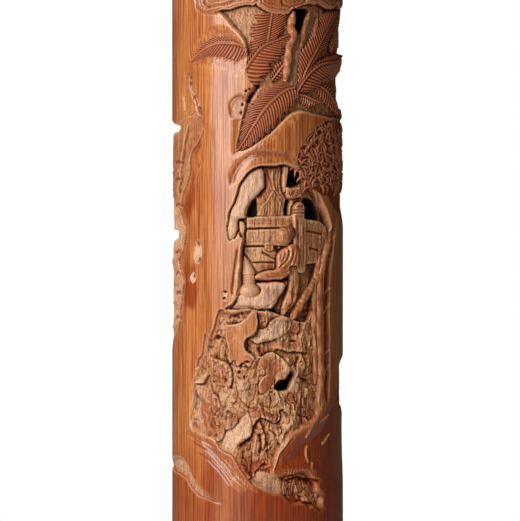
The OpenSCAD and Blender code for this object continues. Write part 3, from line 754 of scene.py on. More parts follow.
step([(8.2, 82.8), (6.6, 81.7), (5, 80.7), (3.8, 79.7), (3, 78.5), (1.6, 78), (0.4, 78.2)], 0.4, 1.1, 1.8,
     1.8, stain=0.7, pale=0.9)
tint(SMOOTH_FACES[1], 0.6, pale=0.8, stain=0.0)
step([(-2.8, 75), (-1.4, 74.4), (0, 74), (2.6, 74.2), (4.4, 74.6), (6.2, 75.5)], 0.3, 0.9, 1.4, 1.7,
     stain=0.5, pale=0.8)
groove([(2.5, 83), (2.9, 81), (2.6, 79.2)], 0.5, -0.5)
groove([(3.7, 82.6), (3.8, 81), (3.5, 79.8)], 0.4, -0.4)
pit(0.7, 72, 0.6, 1.1, 0.8, 0, 0.7)
step([(5.4, 72.4), (7.4, 72.3), (9.4, 71.7), (12, 71.5), (14.8, 71.2), (16.6, 70.7)], 0.5, 0.7, 2.2, 1.6,
     stain=0.9)
tint([(6, 75), (9.6, 74.4), (14, 74.6), (16, 72.4), (9, 72.3), (6, 72.8)], 0.8, skin=0.2, stain=0.35)
pit(11.8, 74.7, 1.4, 0.4, 0.7, 0, 0.9)
step([(9.8, 80.2), (11.8, 81), (14, 82.7), (15.4, 84.6)][::-1], 0.4, 0.5, 1.6, 1.2, stain=0.6)
tint([(9.6, 80), (12.6, 81), (13, 77), (12, 75.6), (10, 76)], 0.8, skin=0.35, stain=0.5)
step([(13, 76.4), (13.6, 78.6), (13.2, 80.8)], 0.4, 0.6, 1.2, 1.4, stain=0.8)
step([(13.9, 69.9), (12.9, 67.7), (12.4, 65)], 0.3, 0.9, 1.4, 1.0, stain=0.7)
step([(12.8, 65), (14.4, 63.9), (16.4, 63.8), (18, 63.6)], 0.3, 0.5, 1.6, 1.0, stain=0.8)
step([(4.4, 56.8), (3.8, 57.6), (3.4, 59)], 0.3, 0.4, 1.0, 0.9, stain=0.7)
for u0, z0 in ((14.8, 68), (16.6, 67.6), (14, 60.6), (16, 59.8), (10, 79.4), (15.4, 79.6), (17, 74.6)):
    groove([(u0 - 0.2, z0 - 1.7), (u0 + 0.2, z0), (u0, z0 + 1.6)], 0.6, -0.35, stain=0.0)
tint([(10, 60), (16, 59), (19, 55), (14, 54), (8, 57)], 1.0, skin=0.25, stain=0.55)

# Lower rocks: layers that lap over each other down to a ragged foot, with a pale face at the left,
# a dark cleft in the middle and broken stones under the slope at the right.
tint([(-19.4, 57.4), (-15.4, 56.6), (-13.8, 53), (-14, 48), (-15.4, 45.8), (-18.4, 50), (-19.8, 54)], 0.9,
     skin=0.7, stain=0.5, pale=0)
step([(-11.6, 54.7), (-13, 53.8), (-14, 52.2), (-13.5, 50.6), (-12.4, 50.1)], 0.4, 0.5, 1.6, 1.0, stain=0.9)
step([(-10.9, 48.5), (-8.8, 48.9), (-7.2, 50), (-6.3, 51.2), (-6.6, 52.6)], 0.5, 0.6, 1.8, 1.2, stain=0.9)
groove([(-12, 56.4), (-10.8, 54.4), (-9.6, 52.6)], 0.7, -0.45, stain=0.0)
step([(-13.9, 49.5), (-13.1, 48), (-12.8, 46.2), (-12.2, 45.3), (-11.2, 46.6), (-10.9, 48), (-11.2, 49.5)],
     0.3, 0.5, 0.8, 0.9, stain=0.9, pale=0.5)
step([(-1.2, 32.5), (-2.6, 33.7), (-4, 35.5), (-5, 36.9), (-5.8, 38.5), (-6.7, 40.1), (-7.4, 41.2),
      (-8.6, 41.8), (-10.8, 42.9), (-12.4, 44.3), (-13, 45.6)], 0.0, 0.55, 1.4, 0.9, stain=0.95)
tint(SMOOTH_FACES[3], 0.6, pale=0.75, stain=0.0)
step([(-6.2, 44), (-4.4, 45.2), (-2.6, 46.6), (-1.8, 48), (-1.4, 50), (-0.6, 51.4), (0.6, 52.6)], 0.6, 1.1,
     2.4, 1.5, stain=1.0, pale=0.6)
step([(2.4, 44.2), (2.3, 46.6), (1.8, 48.6), (1, 50.4), (0.3, 51.7)], 0.4, 0.6, 1.2, 1.2, stain=0.9)
groove([(0.5, 47.8), (0.8, 45.4), (0.7, 43.4), (0.4, 41.8)], 0.9, 1.1, stain=0.9)
groove([(-1.3, 48.9), (-0.9, 48.4), (-0.2, 48.7)], 0.4, -0.4, stain=0.0)
for line in ([(2.6, 45.4), (3.2, 44.6), (4, 44.8)], [(2.4, 43), (3.6, 42.8), (4.5, 43.8)],
             [(-3.4, 43), (-2.5, 43.3), (-2.1, 45)], [(1.2, 42.8), (2.2, 43.6), (2.8, 44.8)],
             [(-4.6, 42.8), (-4.2, 41.6), (-4.4, 40.2)], [(-4.6, 38.6), (-3.6, 38.2)],
             [(-2.8, 40.6), (-1.8, 41)], [(-3, 36.2), (-1.8, 36.4)]):
    groove(line, 0.4, 0.5, stain=0.8)
step([(-3.2, 34.2), (-2, 34.9), (-0.9, 35.6), (-0.9, 36.6), (0.2, 37.4), (1.2, 38.6), (2.4, 39.6)], 0.3,
     0.5, 1.4, 1.0, stain=0.8)
step([(0.9, 37.4), (2.4, 37.5), (3.8, 38.2)], 0.2, 0.4, 1.0, 0.8, stain=0.8)
groove([(-3, 45), (-1.4, 42), (-1, 39)], 0.9, -0.3)
groove([(2.4, 42), (3.4, 39.8), (4.4, 38)], 0.8, -0.3)
step([(0.2, 52.9), (2, 52.2), (4, 51.4), (5.4, 50.9), (6.6, 51.4), (7.1, 52.8), (6.8, 54.2), (8.6, 54.9)],
     0.4, 0.7, 1.8, 1.4, stain=1.0)
tint([(-4.6, 54.6), (-2, 53.4), (0.6, 53), (4, 52), (6.6, 51.8), (6.8, 53.6), (4, 55), (0, 55.4),
      (-3, 56.6)], 0.5, skin=0.5, stain=0.6)
groove([(-5.4, 55.8), (-3.8, 55.2), (-2.6, 54.6)], 0.5, -0.4, stain=0.0)
groove([(2.2, 55.2), (3.6, 54.2), (5, 53.4)], 0.5, -0.4, stain=0.1)
groove([(7, 44.2), (7.6, 46.4), (9, 48.8), (10.8, 51.2)], 0.9, -0.5, stain=0.0)
tint([(6.6, 43.6), (7.2, 46.4), (9, 49.6), (10.8, 51.6), (11, 50), (9, 47), (7.6, 44)], 0.5, pale=0.5)
groove([(8.6, 45.8), (10.4, 48.2), (12.4, 50.6)], 0.9, -0.3, skin=0.6, stain=0.5)
tint(SMOOTH_FACES[4], 0.7, pale=0.35, stain=0.1)
step([(8.2, 34.3), (10, 34.5), (12, 35.2), (13.6, 35.4), (15, 34.8), (18, 34.5), (21, 34)], 0.2, 1.2, 1.0,
     0.9, stain=1.0)
for turn, u0 in enumerate(np.arange(7.6, 12, 0.8)):
    groove([(u0 + 0.4, 34), (u0, 31.6), (u0 + 0.3, 28.6 + 0.3 * turn)], 0.4, 0.4, stain=0.5)
for u0 in np.arange(8.6, 19, 0.9):
    groove([(u0, 35.2), (u0 + 0.3, 36.2), (u0 + 0.2, 37)], 0.4, 0.4, stain=0.5)
tint([(11, 33.6), (17, 33.6), (22.4, 30), (22, 25), (18, 27), (12, 29)], 1.2, skin=0.3, stain=0.4)
step([(12.6, 28.9), (14.4, 28), (16.6, 27.8), (19, 27.4)], 0.2, 0.6, 1.0, 0.9, stain=0.9)
step([(12, 30.6), (13.6, 30), (15.4, 29.4)], 0.2, 0.4, 0.8, 0.8, stain=0.8)
pit(16.7, 52, 0.7, 0.7, 2.2, 0.2, 1.0)
tint([(13.4, 54), (19, 55), (20.6, 51), (17, 50), (14, 50.6)], 0.8, skin=0.4, stain=0.7)

# Wall at the right of the tree trunk: cut a little below the skin, stained, with knife ridges.
ground([(22.3, 99), (22.2, 92), (21.9, 84), (21.9, 76), (22.4, 66), (22.6, 57), (24.6, 58), (25.4, 68),
        (25.2, 84), (26, 96), (28.4, 104), (29.6, 109), (27.6, 109)], 1.0, 0.8, 0.3, 0.75)
tint([(25, 104), (24, 92), (24, 76), (24.6, 60), (30, 60), (35, 74), (35, 104), (31, 112)], 2.5, stain=0.25)
for z0, rise in ((97, 4), (88.4, 2), (82.6, 3.4), (70.6, 1.6), (65, 3)):
    groove([(22.6, z0), (24, z0 + rise / 3), (25.6, z0 + rise)], 0.6, -0.45, 0.3, 0.3)

# Polished slope at the lower right, which falls away from a sharp edge, with a few knife strokes.
relief.wander = 0.15
slope = [(5.4, 36.6), (5.7, 38.2), (6.6, 41), (7.6, 42.8), (9.6, 45.2), (11.6, 47.4), (14, 48.8),
         (17, 49.6), (22, 53.6), (30, 62), (38, 64), (44, 52), (40, 34), (26, 31), (20, 34.4), (17, 36.8),
         (14, 37.9), (9, 36.8)]
ground(slope, 0.7, 4.0, 1.0)
tint(slope, 1.0, skin=1.0, stain=0.95, pale=0.0)
step([(5, 36.5), (5.5, 38.2), (6.4, 41), (7.5, 43), (9.4, 45.3), (11, 47.2)], 0.1, 0.5, 0.6, 0.9, stain=0.9)
for line in ([(15.6, 44.4), (15.3, 42.4), (15.8, 39)], [(21.6, 44.4), (23.4, 45.6), (25.8, 47.8)],
             [(17.6, 39.6), (17.4, 38.4), (17, 37.2)], [(15.2, 46.4), (16.2, 48.2), (18, 50.4)],
             [(20.6, 51), (23, 52.2), (24.8, 53.2)], [(20.8, 54.4), (21.6, 55.6), (21.8, 57.4)]):
    groove(line, 0.6, -0.4, 0.3, 0.0)

# Skin edges beside the niche, the bevelled lower border, and the long leaf cut at the lower left.
step([(-6.4, 86.8), (-5.7, 90.8), (-5.3, 95), (-5, 100), (-4.5, 104.4)], 0.0, 0.8, 1, 0.7, stain=1.0)
step([(-9.8, 83.5), (-8.2, 84.6), (-6.5, 86.6)], 0.1, 0.7, 1, 0.8, stain=1.0)
groove([(-5.9, 101.8), (-6.5, 98), (-7, 94), (-7.5, 90), (-7.3, 87.4)], 0.5, 0.6, stain=0.6)
tint([(-5.9, 100), (-6.6, 94), (-7, 88), (-6.2, 87.4), (-5.7, 92), (-5.3, 98)], 0.3, pale=0.4, skin=0.3)
ground([(-24, 50), (-20, 48), (-17, 46.9), (-13, 45.6), (-10.8, 42.9), (-7.4, 41.2), (-5, 36.9),
        (-2.6, 33.7), (0, 31.4), (0, 30), (-4, 31.6), (-8, 34.6), (-12, 38), (-16, 42.4), (-19, 44.4),
        (-25, 47.4)], 0.45, 2.0, 0.85, 0.45)
bevel = np.array([(-21.5, 46.8), (-17, 44.8), (-13, 42.4), (-9, 38.6), (-6, 35.2), (-2.4, 31.9)])
for turn in range(8):
    groove(bevel[turn % 3 : 6 - turn % 2] - (0.3 * turn, 0.36 * turn), 0.5, (-0.05, 0.1)[turn % 2],
           stain=(0.1, 0.8)[turn % 2])
ground([(-36, 40.6), (-30, 40.9), (-26, 40.4), (-24, 38.6), (-21.8, 36), (-19.4, 33), (-15.4, 30),
        (-10.6, 27.2), (-15.6, 28.6), (-19.4, 29.9), (-22.6, 32.4), (-25.6, 35), (-33, 36.6), (-44, 38)],
       0.8, 0.8, 0.1, 0.0, 0.3)
step([(-11, 27.2), (-15.6, 28.5), (-19.4, 29.8), (-22.6, 32.3), (-25.6, 34.9), (-33, 36.5), (-44, 38)], 0.0,
     0.5, 1, 0.9, stain=0.8)

# Clouds above the palms, in curled ribbons cut with lines that follow their edges.
CLOUDS = [
    [(-20.6, 177), (-20.4, 173.6), (-19.3, 171), (-17.6, 170.1), (-15.6, 169.8), (-13, 170.1),
     (-10.8, 170.8), (-8.2, 171), (-6, 171.7), (-3.6, 172.1), (-1, 172.2), (0.6, 175), (-2, 179.4),
     (-8, 181.6), (-15, 181)],
    [(-17, 178), (-17.4, 173.4), (-15.8, 171.6), (-13, 171.8), (-9.6, 172.2), (-6.4, 173.2), (-3, 174),
     (-4, 177.6), (-9, 179.8), (-14, 179.8)],
    [(-0.4, 173.2), (1.2, 171.2), (3, 170.2), (6, 169.6), (9, 169.5), (11.2, 170.6), (13.6, 172),
     (16.4, 172.6), (19.6, 172.8), (21, 176), (17, 180.4), (9, 182), (2.4, 180)],
    [(6.6, 176), (7.2, 172.6), (9, 171.6), (12, 171.6), (14.4, 172.4), (15.4, 175), (13, 178.6), (9, 179)],
    [(19, 174), (22, 172.4), (25, 171.2), (28.6, 171.4), (31, 173), (34, 171.4), (38.6, 172), (41, 176),
     (37, 181.6), (28, 182.4), (20.6, 180.6)],
    [(40, 176), (44, 171.6), (50, 170.6), (55, 172.6), (60, 175), (57, 180.4), (48, 182)],
]
for number, outline in enumerate(CLOUDS):
    form(outline, 0.05 + 0.2 * (number % 2), 0.7, 1.1, (0, 0), 0.85, 0.25, lines=1.05)
pit(27.2, 170.6, 1.8, 0.7, 1.8, 0.0, 1.0)
tint([(-2, 180), (8, 182), (20, 181), (38, 182), (40, 172), (28, 170), (10, 169), (2, 170)], 2.0, stain=0.5)

# Holes and knots that the carver left in the skin.
for u0, z0, across, up, depth in [
        (-19.3, 100.4, 1.7, 3.9, 0.8), (-19.4, 103, 0.5, 0.8, 0.8), (-18.9, 98.2, 0.6, 0.8, 0.6),
        (-21.6, 93, 1.8, 1.9, 0.7), (-21.4, 93.4, 0.6, 0.5, 0.9), (-9.8, 88, 1.1, 1.7, 0.5),
        (-9.7, 88.9, 0.6, 0.4, 0.9), (-10.1, 87, 0.5, 0.4, 0.6), (-4.6, 143.3, 0.5, 0.7, 1.2),
        (-5, 140.8, 0.5, 0.7, 1.0), (-3.4, 147.3, 0.5, 0.4, 1.0), (-2.3, 147.9, 0.5, 0.4, 1.0),
        (-2.4, 145.6, 0.6, 0.5, 1.2), (-23.2, 151.2, 0.8, 0.8, 1.6), (-20.6, 145.4, 0.6, 1.0, 1.2)]:
    pit(u0, z0, across, up, depth, 0.12, 0.8 if across < 1 else 0.0)
    if across >= 1:
        tint([(u0 - across, z0), (u0, z0 + up), (u0 + across, z0), (u0, z0 - up)], 0.3, skin=0.0, pale=0.9,
             stain=0.0)
ground([(-8.4, 139.6), (-8.3, 143.4), (-6.6, 145.6), (-4.6, 145.7), (-3, 144), (-3.6, 140), (-6, 138.6)],
       0.6, 1.0, 0.5, 0.1, 0.3)
groove([(-8, 140), (-8.2, 143.4), (-6.6, 145.4), (-4.6, 145.6), (-3.8, 144)], 0.5, 0.4, stain=0.4)
groove([(-3.4, 143.6), (-2.2, 145.8), (-0.6, 148), (0.6, 149.4)], 1.1, 1.4, stain=1.0)
ground([(-25.6, 153), (-21.6, 152.6), (-21.2, 147), (-20.8, 141), (-23, 139.6), (-26.6, 142), (-27, 148)],
       0.6, 1.2, 0.7, 0.1)
pit(-18.6, 142, 1.3, 1.5, 0.35, 0.3, 0.1)
groove([(-23.6, 150.4), (-22.8, 147.8), (-21.4, 145.6), (-19.8, 143.8), (-17.8, 140)], 0.9, 0.9, stain=0.6)
groove([(-22.4, 149.2), (-21.6, 147.2), (-20, 144.8), (-18.4, 142.8)], 0.6, -0.5, 0.2, 0.0)
step([(-19.4, 144.6), (-20.6, 143), (-20.4, 140.8), (-18.8, 139.4)], 0.1, 0.7, 1.0, 1.0, stain=0.8)
tint([(-20, 143.6), (-18.4, 144), (-17.4, 142), (-18.6, 140.4)], 0.8, pale=0.7)
tint([(-22, 142), (-17, 143), (-16, 137), (-19, 133), (-23, 136)], 2.0, stain=0.4)

# Right edge: level ledges and dark hollows behind the palms, the shallow ground that carries the
# tree's foliage, and then light painted shade on the garden wall near the scholar.
relief.wander = 0.5
for outline in ([(32.6, 170.4), (36, 170.6), (48, 170), (48, 165.6), (36, 165.4), (33, 166.4)],
                [(31, 157), (36, 157.8), (48, 157), (48, 153.6), (36, 153), (31.6, 154)],
                [(31, 158), (35, 160), (48, 160), (48, 143), (37, 142.6), (33, 146)]):
    ground(outline, 2.4, 1.6)
ground([(31, 67), (34, 70), (46, 70), (48, 54), (40, 53.4), (33, 54), (31, 57)], 1.2, 3.0)
ground([(12, 127), (14, 132), (19, 136.6), (26, 139.4), (36, 140), (46, 138), (48, 120), (40, 108),
        (30, 112), (24, 116), (17, 119), (13, 123)], 1.0, 1.2, 0.15, 0.95)
ground([(29, 169), (30.6, 161), (29.4, 158.4), (36, 159.4), (40, 152), (45, 153), (45, 167), (36, 169.6)],
       3.2, 1.5, 0, 0.6)
tint([(24, 172), (27, 160), (26, 152), (28, 141), (46, 141), (46, 172)], 2.5, stain=0.7)
# Painted shade on the garden wall and the rocks near the scholar.
tint([(4.6, 101), (6, 98), (5.4, 95.6), (2, 95), (-1, 94.6), (-0.4, 96), (2.4, 97)], 0.8, stain=0.4)
tint([(-3, 110.6), (11, 110.8), (11, 108.6), (3, 108.2), (-3, 108.4)], 0.8, stain=0.35)
tint([(0, 116.6), (5, 119), (8.4, 114), (8.6, 111.4), (0.6, 111.4)], 1.0, stain=0.3)

# The back: a pine on a cliff with a cascade beside it, and one long cloud, in the same low relief.
ground([(52, 60), (60, 42), (78, 34), (98, 40), (105, 66), (101, 92), (105, 124), (93, 146), (72, 152),
        (56, 142), (50, 100)], 1.4, 1.2)
cut_back = smooth((relief.depth - 0.7) / 0.6) * (U > 48) * (U < 110) * smooth((128 - Z) / 20)
relief.depth -= cut_back * 0.55 * shelves(U, Z + 0.3 * U, 9, 11, 3, 15)
for outline, top in [
        ([(56, 62), (60, 78), (66, 92), (70, 84), (74, 66), (80, 48), (72, 40), (62, 46)], 0.3),
        ([(84, 46), (82, 66), (86, 88), (92, 104), (98, 88), (100, 66), (96, 46)], 0.4),
        ([(70, 70), (74, 86), (79, 96), (83, 80), (82, 58), (76, 54)], 0.7)]:
    form(outline, top, 0.9, 2.2, skin=0.6, stain=0.15)
for outline in ([(62, 148), (68, 153.6), (78, 155), (88, 152), (95, 147), (90, 143.6), (82, 146),
                 (74, 144.6), (67, 144)],
                [(80, 136), (86, 140), (94, 140.6), (99, 137), (95, 133.6), (88, 134), (83, 132.6)]):
    form(outline, 0.25, 0.7, 1.1, skin=0.6, lines=1.15)
for u0 in np.arange(76.5, 80, 1.1):
    groove([(u0, 128), (u0 + 0.6, 116), (u0 - 0.3, 104), (u0 + 0.4, 96)], 0.5, 0.35)
for turn in range(7):
    u0, z0 = 57 + 6.6 * turn, 58 + 7 * (turn % 3)
    step([(u0, z0), (u0 + 2, z0 + 10), (u0 + 1, z0 + 22)], 0.3, 0.6, 2.5, 2, stain=0.6)

# Tool marks and the grain's own unevenness, only where the skin has been cut away.
relief.wander = 0.0
bare = 1 - np.clip(relief.skin, 0, 1)
fibres = mottle(U, Z, 0.6, 4, 21) * 0.5 + mottle(U, Z, 1.1, 2.4, 22) * 0.5
relief.depth += bare * (0.26 * fibres + 0.06 * mottle(U, Z, 0.5, 0.9, 12))
relief.depth += (1 - bare) * (0.05 + 0.05 * mottle(U, Z, 6, 22, 13) + 0.012 * mottle(U, Z, 0.7, 14, 14))

# The cuts right through the wall: the gap above the palms, four windows, one among the rocks and
# two at the back. Beside three of them the ground is first cut almost through.
DEEP_PLACES = [
    [(15.8, 110.4), (18.5, 110.1), (23, 109.6), (23.4, 111), (22, 113.7), (20, 115.6), (17.4, 116.4),
     (15.8, 115.4)],
    [(9.9, 119.5), (12.4, 119.3), (15.2, 120.6), (15, 123), (13, 124), (11.2, 124.2), (10.2, 121.6)],
    [(11.2, 171), (14, 171.2), (17.4, 171), (17, 168), (15.6, 165.4), (13.6, 163.6), (12.4, 166)],
]
for outline in DEEP_PLACES:
    ground(outline, WALL - 0.5, 0.5)
for outline in [
        [(10, 169), (10.9, 170.8), (13.6, 171), (16.4, 170.8), (15, 169), (13.6, 167.2), (12.8, 165),
         (12, 166.4)],
        [(-3.5, 110.8), (-0.6, 110.8), (-0.2, 112.4), (-0.4, 114.6), (-0.7, 116), (-1.7, 115.5),
         (-2.8, 114), (-3.4, 112.4)],
        [(9.8, 119.5), (12.3, 119.4), (12.8, 121), (13.6, 122.7), (12.6, 123.5), (11.3, 124), (10.6, 122.8),
         (10.1, 121.2)],
        [(8.9, 111.3), (10.4, 111.2), (10.7, 113.4), (11.3, 115.1), (10.8, 115.7), (9.7, 115.5),
         (9.3, 113.6)],
        [(15.8, 110.5), (18.5, 110.2), (21.3, 109.9), (20.9, 111.4), (19.6, 113.7), (18, 115.5),
         (16.8, 116.1), (15.9, 115.3), (15.7, 113)],
        [(5.3, 61.4), (6.2, 60.3), (8.4, 60.3), (10.2, 60.6), (11, 62.6), (12, 65.1), (10.8, 66),
         (9.6, 63.7), (8.2, 63.3), (6.6, 63)],
        [(69.8, 118), (73.2, 117.6), (74.6, 121), (72.6, 124.2), (70.4, 122.2)],
        [(-67.8, 84), (-65.4, 83.4), (-63.8, 86.4), (-65.4, 89.8), (-67.4, 88.4)]]:
    relief.opening(outline)

# Seats for the pins: a shallow flat round each head.
PIN_R = 1.0
PIN_HEIGHTS = [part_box(f"{end}_pin_1")[0].z * MM + PIN_R for end in ("foot", "rim")]
for turn in range(3):
    for z0 in PIN_HEIGHTS:
        centre = np.array([[(120 + 120 * turn) / 360 * ROUND, z0]])
        part, u, z = relief.near(centre, 2)
        seat = smooth((PIN_R + 0.18 - np.hypot(u - centre[0, 0], z - z0)) / 0.15) * 0.35
        relief.depth[part] = np.maximum(relief.depth[part], seat)
relief.depth = np.maximum(relief.depth, 0)
ROW_STEP, COLUMN_STEP = 0.22, 0.21


def softened(field, reach):
    """A box average over a reach in mm, by running sums up the wall and round it."""
    up, across = max(int(reach / ROW_STEP), 1), max(int(reach / COLUMN_STEP), 1)
    padded = np.concatenate([field[:, -across - 1:], field, field[:, :across]], 1)
    padded = np.pad(padded, ((up + 1, up), (0, 0)), "edge")
    total = np.cumsum(np.cumsum(padded, 0), 1)
    tall, wide = 2 * up + 1, 2 * across + 1
    above, below = total[tall:], total[:-tall]
    return (above[:, wide:] - below[:, wide:] - above[:, :-wide] + below[:, :-wide]) / tall / wide


capped = np.minimum(relief.depth, WALL)
sunk = capped - softened(capped, 0.7)
wide_sunk = capped - softened(capped, 2.6)
cut_away = 1 - np.clip(relief.skin, 0, 1)
# Painted light and shade by depth: the cut ground is darker in its low places and paler on its high ones.
relief.stain += cut_away * 0.3 * smooth(wide_sunk / 0.7) * (1 - relief.pale)
relief.pale += cut_away * 0.4 * smooth((-wide_sunk - 0.05) / 0.5) * (1 - relief.stain)
# Painted shade: recesses go towards near black, partly as their dark patina, and the ground beside the deep
# cuts fully.
hollow = np.clip(smooth(sunk / 0.8) * 0.9 + smooth(wide_sunk / 2.6) * 0.4, 0, 1)
for outline in DEEP_PLACES:
    part, within, _ = relief.inside(outline, 0.5)
    hollow[part] = np.maximum(hollow[part], smooth((within + 0.3) / 0.6))
# Of these values, hollow is painted shade in recesses and proud a painted highlight on raised edges.
FIELDS = ("skin", "stain", "pale", "hollow", "proud")
fields = (relief.skin, relief.stain, relief.pale, hollow, smooth(-sunk / 0.36))
CULM_VALUES = {key: np.clip(field, 0, 1) for key, field in zip(FIELDS, fields)}


def bamboo_look(flow, place):
    """Polished skin over cut fibre, both streaked along Z. The fibre has dark vessels and rubbed pale
    patches. Raised edges get a painted highlight, and recesses a near-black painted shade, partly their
    dark patina.
    """
    skin, stain, pale, hollow, proud = (flow.value(name) for name in FIELDS)
    broad = place.scaled(0.35, 0.35, 0.02).noise(1.0, 2.0)
    streak = place.scaled(3.3, 3.3, 0.05).noise(1.0, 3.0, 0.65)
    cloudy = place.noise(0.09, 3.0)
    vessel = place.scaled(3.6, 3.6, 0.8).noise(1.0, 2.0, 0.6, 0.4)
    dashes = vessel.between(0.53, 0.62)
    fibre = (streak * 0.5 + vessel * 0.5).between(0.38, 0.6).blend(paint(FIBRE_DEEP), paint(FIBRE_PALE))
    # Paleness is rubbed fibre, and partly painted light on the high places.
    fibre = (pale * 0.9).blend(fibre, paint(RUBBED_AND_LIT))
    fibre = ((0.48 - vessel).between(0.0, 0.1) * 0.45).blend(fibre, paint(RUBBED_AND_LIT))
    fibre = (dashes * (0.8 - pale * 0.35)).blend(fibre, paint(FLECK))
    rind = (streak * 0.8 + broad * 0.2).between(0.4, 0.58).blend(paint(SKIN_DEEP), paint(SKIN_PALE))
    rind = (cloudy.between(0.5, 0.72) * 0.35).blend(rind, paint(RIND_CLOUD))
    rind = (dashes * 0.15).blend(rind, paint(RIND_VESSEL))
    rind = (pale * 0.5).blend(rind, paint(RIND_RUBBED_AND_LIT))
    colour = skin.blend(fibre, rind)
    # The staining colour, for the real stains and also for painted shade.
    stain_and_shade_colour = streak.between(0.38, 0.6).blend(paint(STAIN_AND_SHADE_DEEP), paint(STAIN_AND_SHADE_PALE))
    colour = (stain * 0.94).blend(colour, stain_and_shade_colour)
    # Painted highlight on raised edges.
    colour = (proud * 0.7).blend(colour, stain.blend(paint(EDGE_HIGHLIGHT_PALE), paint(EDGE_HIGHLIGHT_RED)))
    # Painted shade in recesses.
    colour = hollow.blend(colour, paint(HOLLOW_SHADE))
    rough = 0.6 - skin * 0.2 + hollow * 0.15 + dashes * 0.06
    height = (1 - skin) * (vessel * 0.24 + streak * 0.08) + skin * (streak * 0.016 + vessel * 0.006)
    flow.coat = skin * (1 - hollow) * 0.9 + 0.08
    return colour, rough.clamped(), height


bamboo = material("carved_bamboo", bamboo_look, Coat_Roughness=0.17, Coat_IOR=1.56, Specular_IOR_Level=0.15)

FINE_WINDOWS = [(-4.5, 22.5, 109, 117.5), (8.5, 15, 118.5, 125), (4.4, 13, 59.2, 66.8), (9, 17.5, 164, 172),
                (68.8, 75.6, 116.6, 125.2), (ROUND - 68.8, ROUND - 62.8, 82.4, 90.8)]
BANDS = (CULM_BASE, 42, 70, 101, 130, 161, CULM_TOP)
PLACES, HEIGHTS = relief.u, relief.z
wrapped = np.concatenate([capped[:, -1:], capped, capped[:, :1]], 1)
spacing = np.concatenate([PLACES[-1:] - ROUND, PLACES, PLACES[:1] + ROUND])
normal_u = np.gradient(wrapped, spacing, axis=1)[:, 1:-1]
normal_z = np.gradient(capped, HEIGHTS, axis=0)


def culm_band(number, first, last):
    """One closed length of the wall: the carved outer face, a plain bore and level ends. The bore has few
    rows and columns, but every one beside a through cut, so that inner and outer faces meet there."""
    rows = np.arange(first, last + 1)
    depth = np.minimum(relief.depth[rows], WALL)
    keep_cols, keep_rows = np.arange(len(PLACES)) % 14 == 0, (rows - first) % 18 == 0
    keep_rows[-1] = True
    for u0, u1, z0, z1 in FINE_WINDOWS:
        within = (HEIGHTS[rows] >= z0) & (HEIGHTS[rows] <= z1)
        if within.any():
            keep_rows |= within
            keep_cols |= (PLACES >= u0) & (PLACES <= u1)
    inner_rows, inner_cols = np.nonzero(keep_rows)[0], np.nonzero(keep_cols)[0]
    count, wide = len(rows), len(PLACES)
    outer = np.arange(count * wide).reshape(count, wide)
    inner = np.full((count, wide), -1)
    kept = np.ix_(inner_rows, inner_cols)
    inner[kept] = np.arange(len(inner_rows) * len(inner_cols)).reshape(len(inner_rows), -1)
    inner += np.where(inner >= 0, count * wide, 0)
    right = np.roll(np.arange(wide), -1)
    deep = depth >= WALL - 0.01
    gone = deep[:-1] & deep[1:] & deep[:-1][:, right] & deep[1:][:, right]
    edge = np.zeros_like(deep)
    for rows_part in (slice(None, -1), slice(1, None)):
        edge[rows_part] |= gone
        edge[rows_part] |= np.roll(gone, 1, 1)
    depth = np.where(edge, WALL, np.minimum(depth, WALL - 0.06))
    points = on_wall(PLACES[None, :], HEIGHTS[rows][:, None], depth).reshape(-1, 3)
    bore = on_wall(PLACES[inner_cols][None, :], HEIGHTS[rows][inner_rows][:, None], WALL).reshape(-1, 3)
    shared = np.where(edge & (inner >= 0), inner, outer)
    front = np.stack([shared[:-1], shared[:-1][:, right], shared[1:][:, right], shared[1:]], -1)[~gone]
    low = inner[kept]
    turned = np.roll(low, -1, 1)
    whole = np.ones((len(inner_rows) - 1, len(inner_cols)), bool)
    next_cols = np.append(inner_cols[1:], wide + inner_cols[0])
    small = (np.diff(inner_rows) == 1)[:, None] & (next_cols - inner_cols == 1)[None, :]
    whole[small] = ~gone[np.ix_(inner_rows[:-1], inner_cols)][small]
    back = np.stack([low[1:], turned[1:], turned[:-1], low[:-1]], -1)[whole]
    faces = front.tolist() + back.tolist()
    for row, flip in ((0, True), (-1, False)):
        for start, end in zip(inner_cols, next_cols):
            run = outer[row][np.arange(start, end + 1) % wide].tolist()
            face = run + [int(inner[row][end % wide]), int(inner[row][start])]
            faces.append(face[::-1] if flip else face)
    # The bore takes fixed values: a flat painted shade inside it and a faint painted highlight.
    values = {key: np.append(v[rows].ravel(), np.full(len(bore), {"hollow": 0.4}.get(key, 0.2)))
              for key, v in CULM_VALUES.items()}
    used, corners = np.unique(np.concatenate(faces), return_inverse=True)
    ends = np.cumsum([len(face) for face in faces])[:-1]
    faces = [face.tolist() for face in np.split(corners.ravel(), ends)]
    values = {key: v[used] for key, v in values.items()}
    made = piece(f"carved_wall_{number}", np.vstack([points, bore])[used], faces, bamboo,
                 ("carved_culm",), values)
    lean_u, lean_z = normal_u[rows].ravel(), normal_z[rows].ravel()
    angle = np.tile(PLACES, count) / CULM_R
    stretch = CULM_R / (CULM_R - depth.ravel())
    normals = np.stack([np.sin(angle) + lean_u * stretch * np.cos(angle),
                        -np.cos(angle) + lean_u * stretch * np.sin(angle), lean_z], -1)
    bore_angle = np.arctan2(bore[:, 0], -bore[:, 1])
    bore_normals = np.stack([-np.sin(bore_angle), np.cos(bore_angle), np.zeros(len(bore))], -1)
    normals = np.vstack([normals / np.linalg.norm(normals, axis=1)[:, None], bore_normals])[used]
    made.data.normals_split_custom_set_from_vertices(normals.tolist())
    return made


def on_culm(name, sections, **values):
    """A swept piece that is part of the carved culm, with a value for each of its fields."""
    return swept(name, sections, bamboo, ("carved_culm",), values=values)


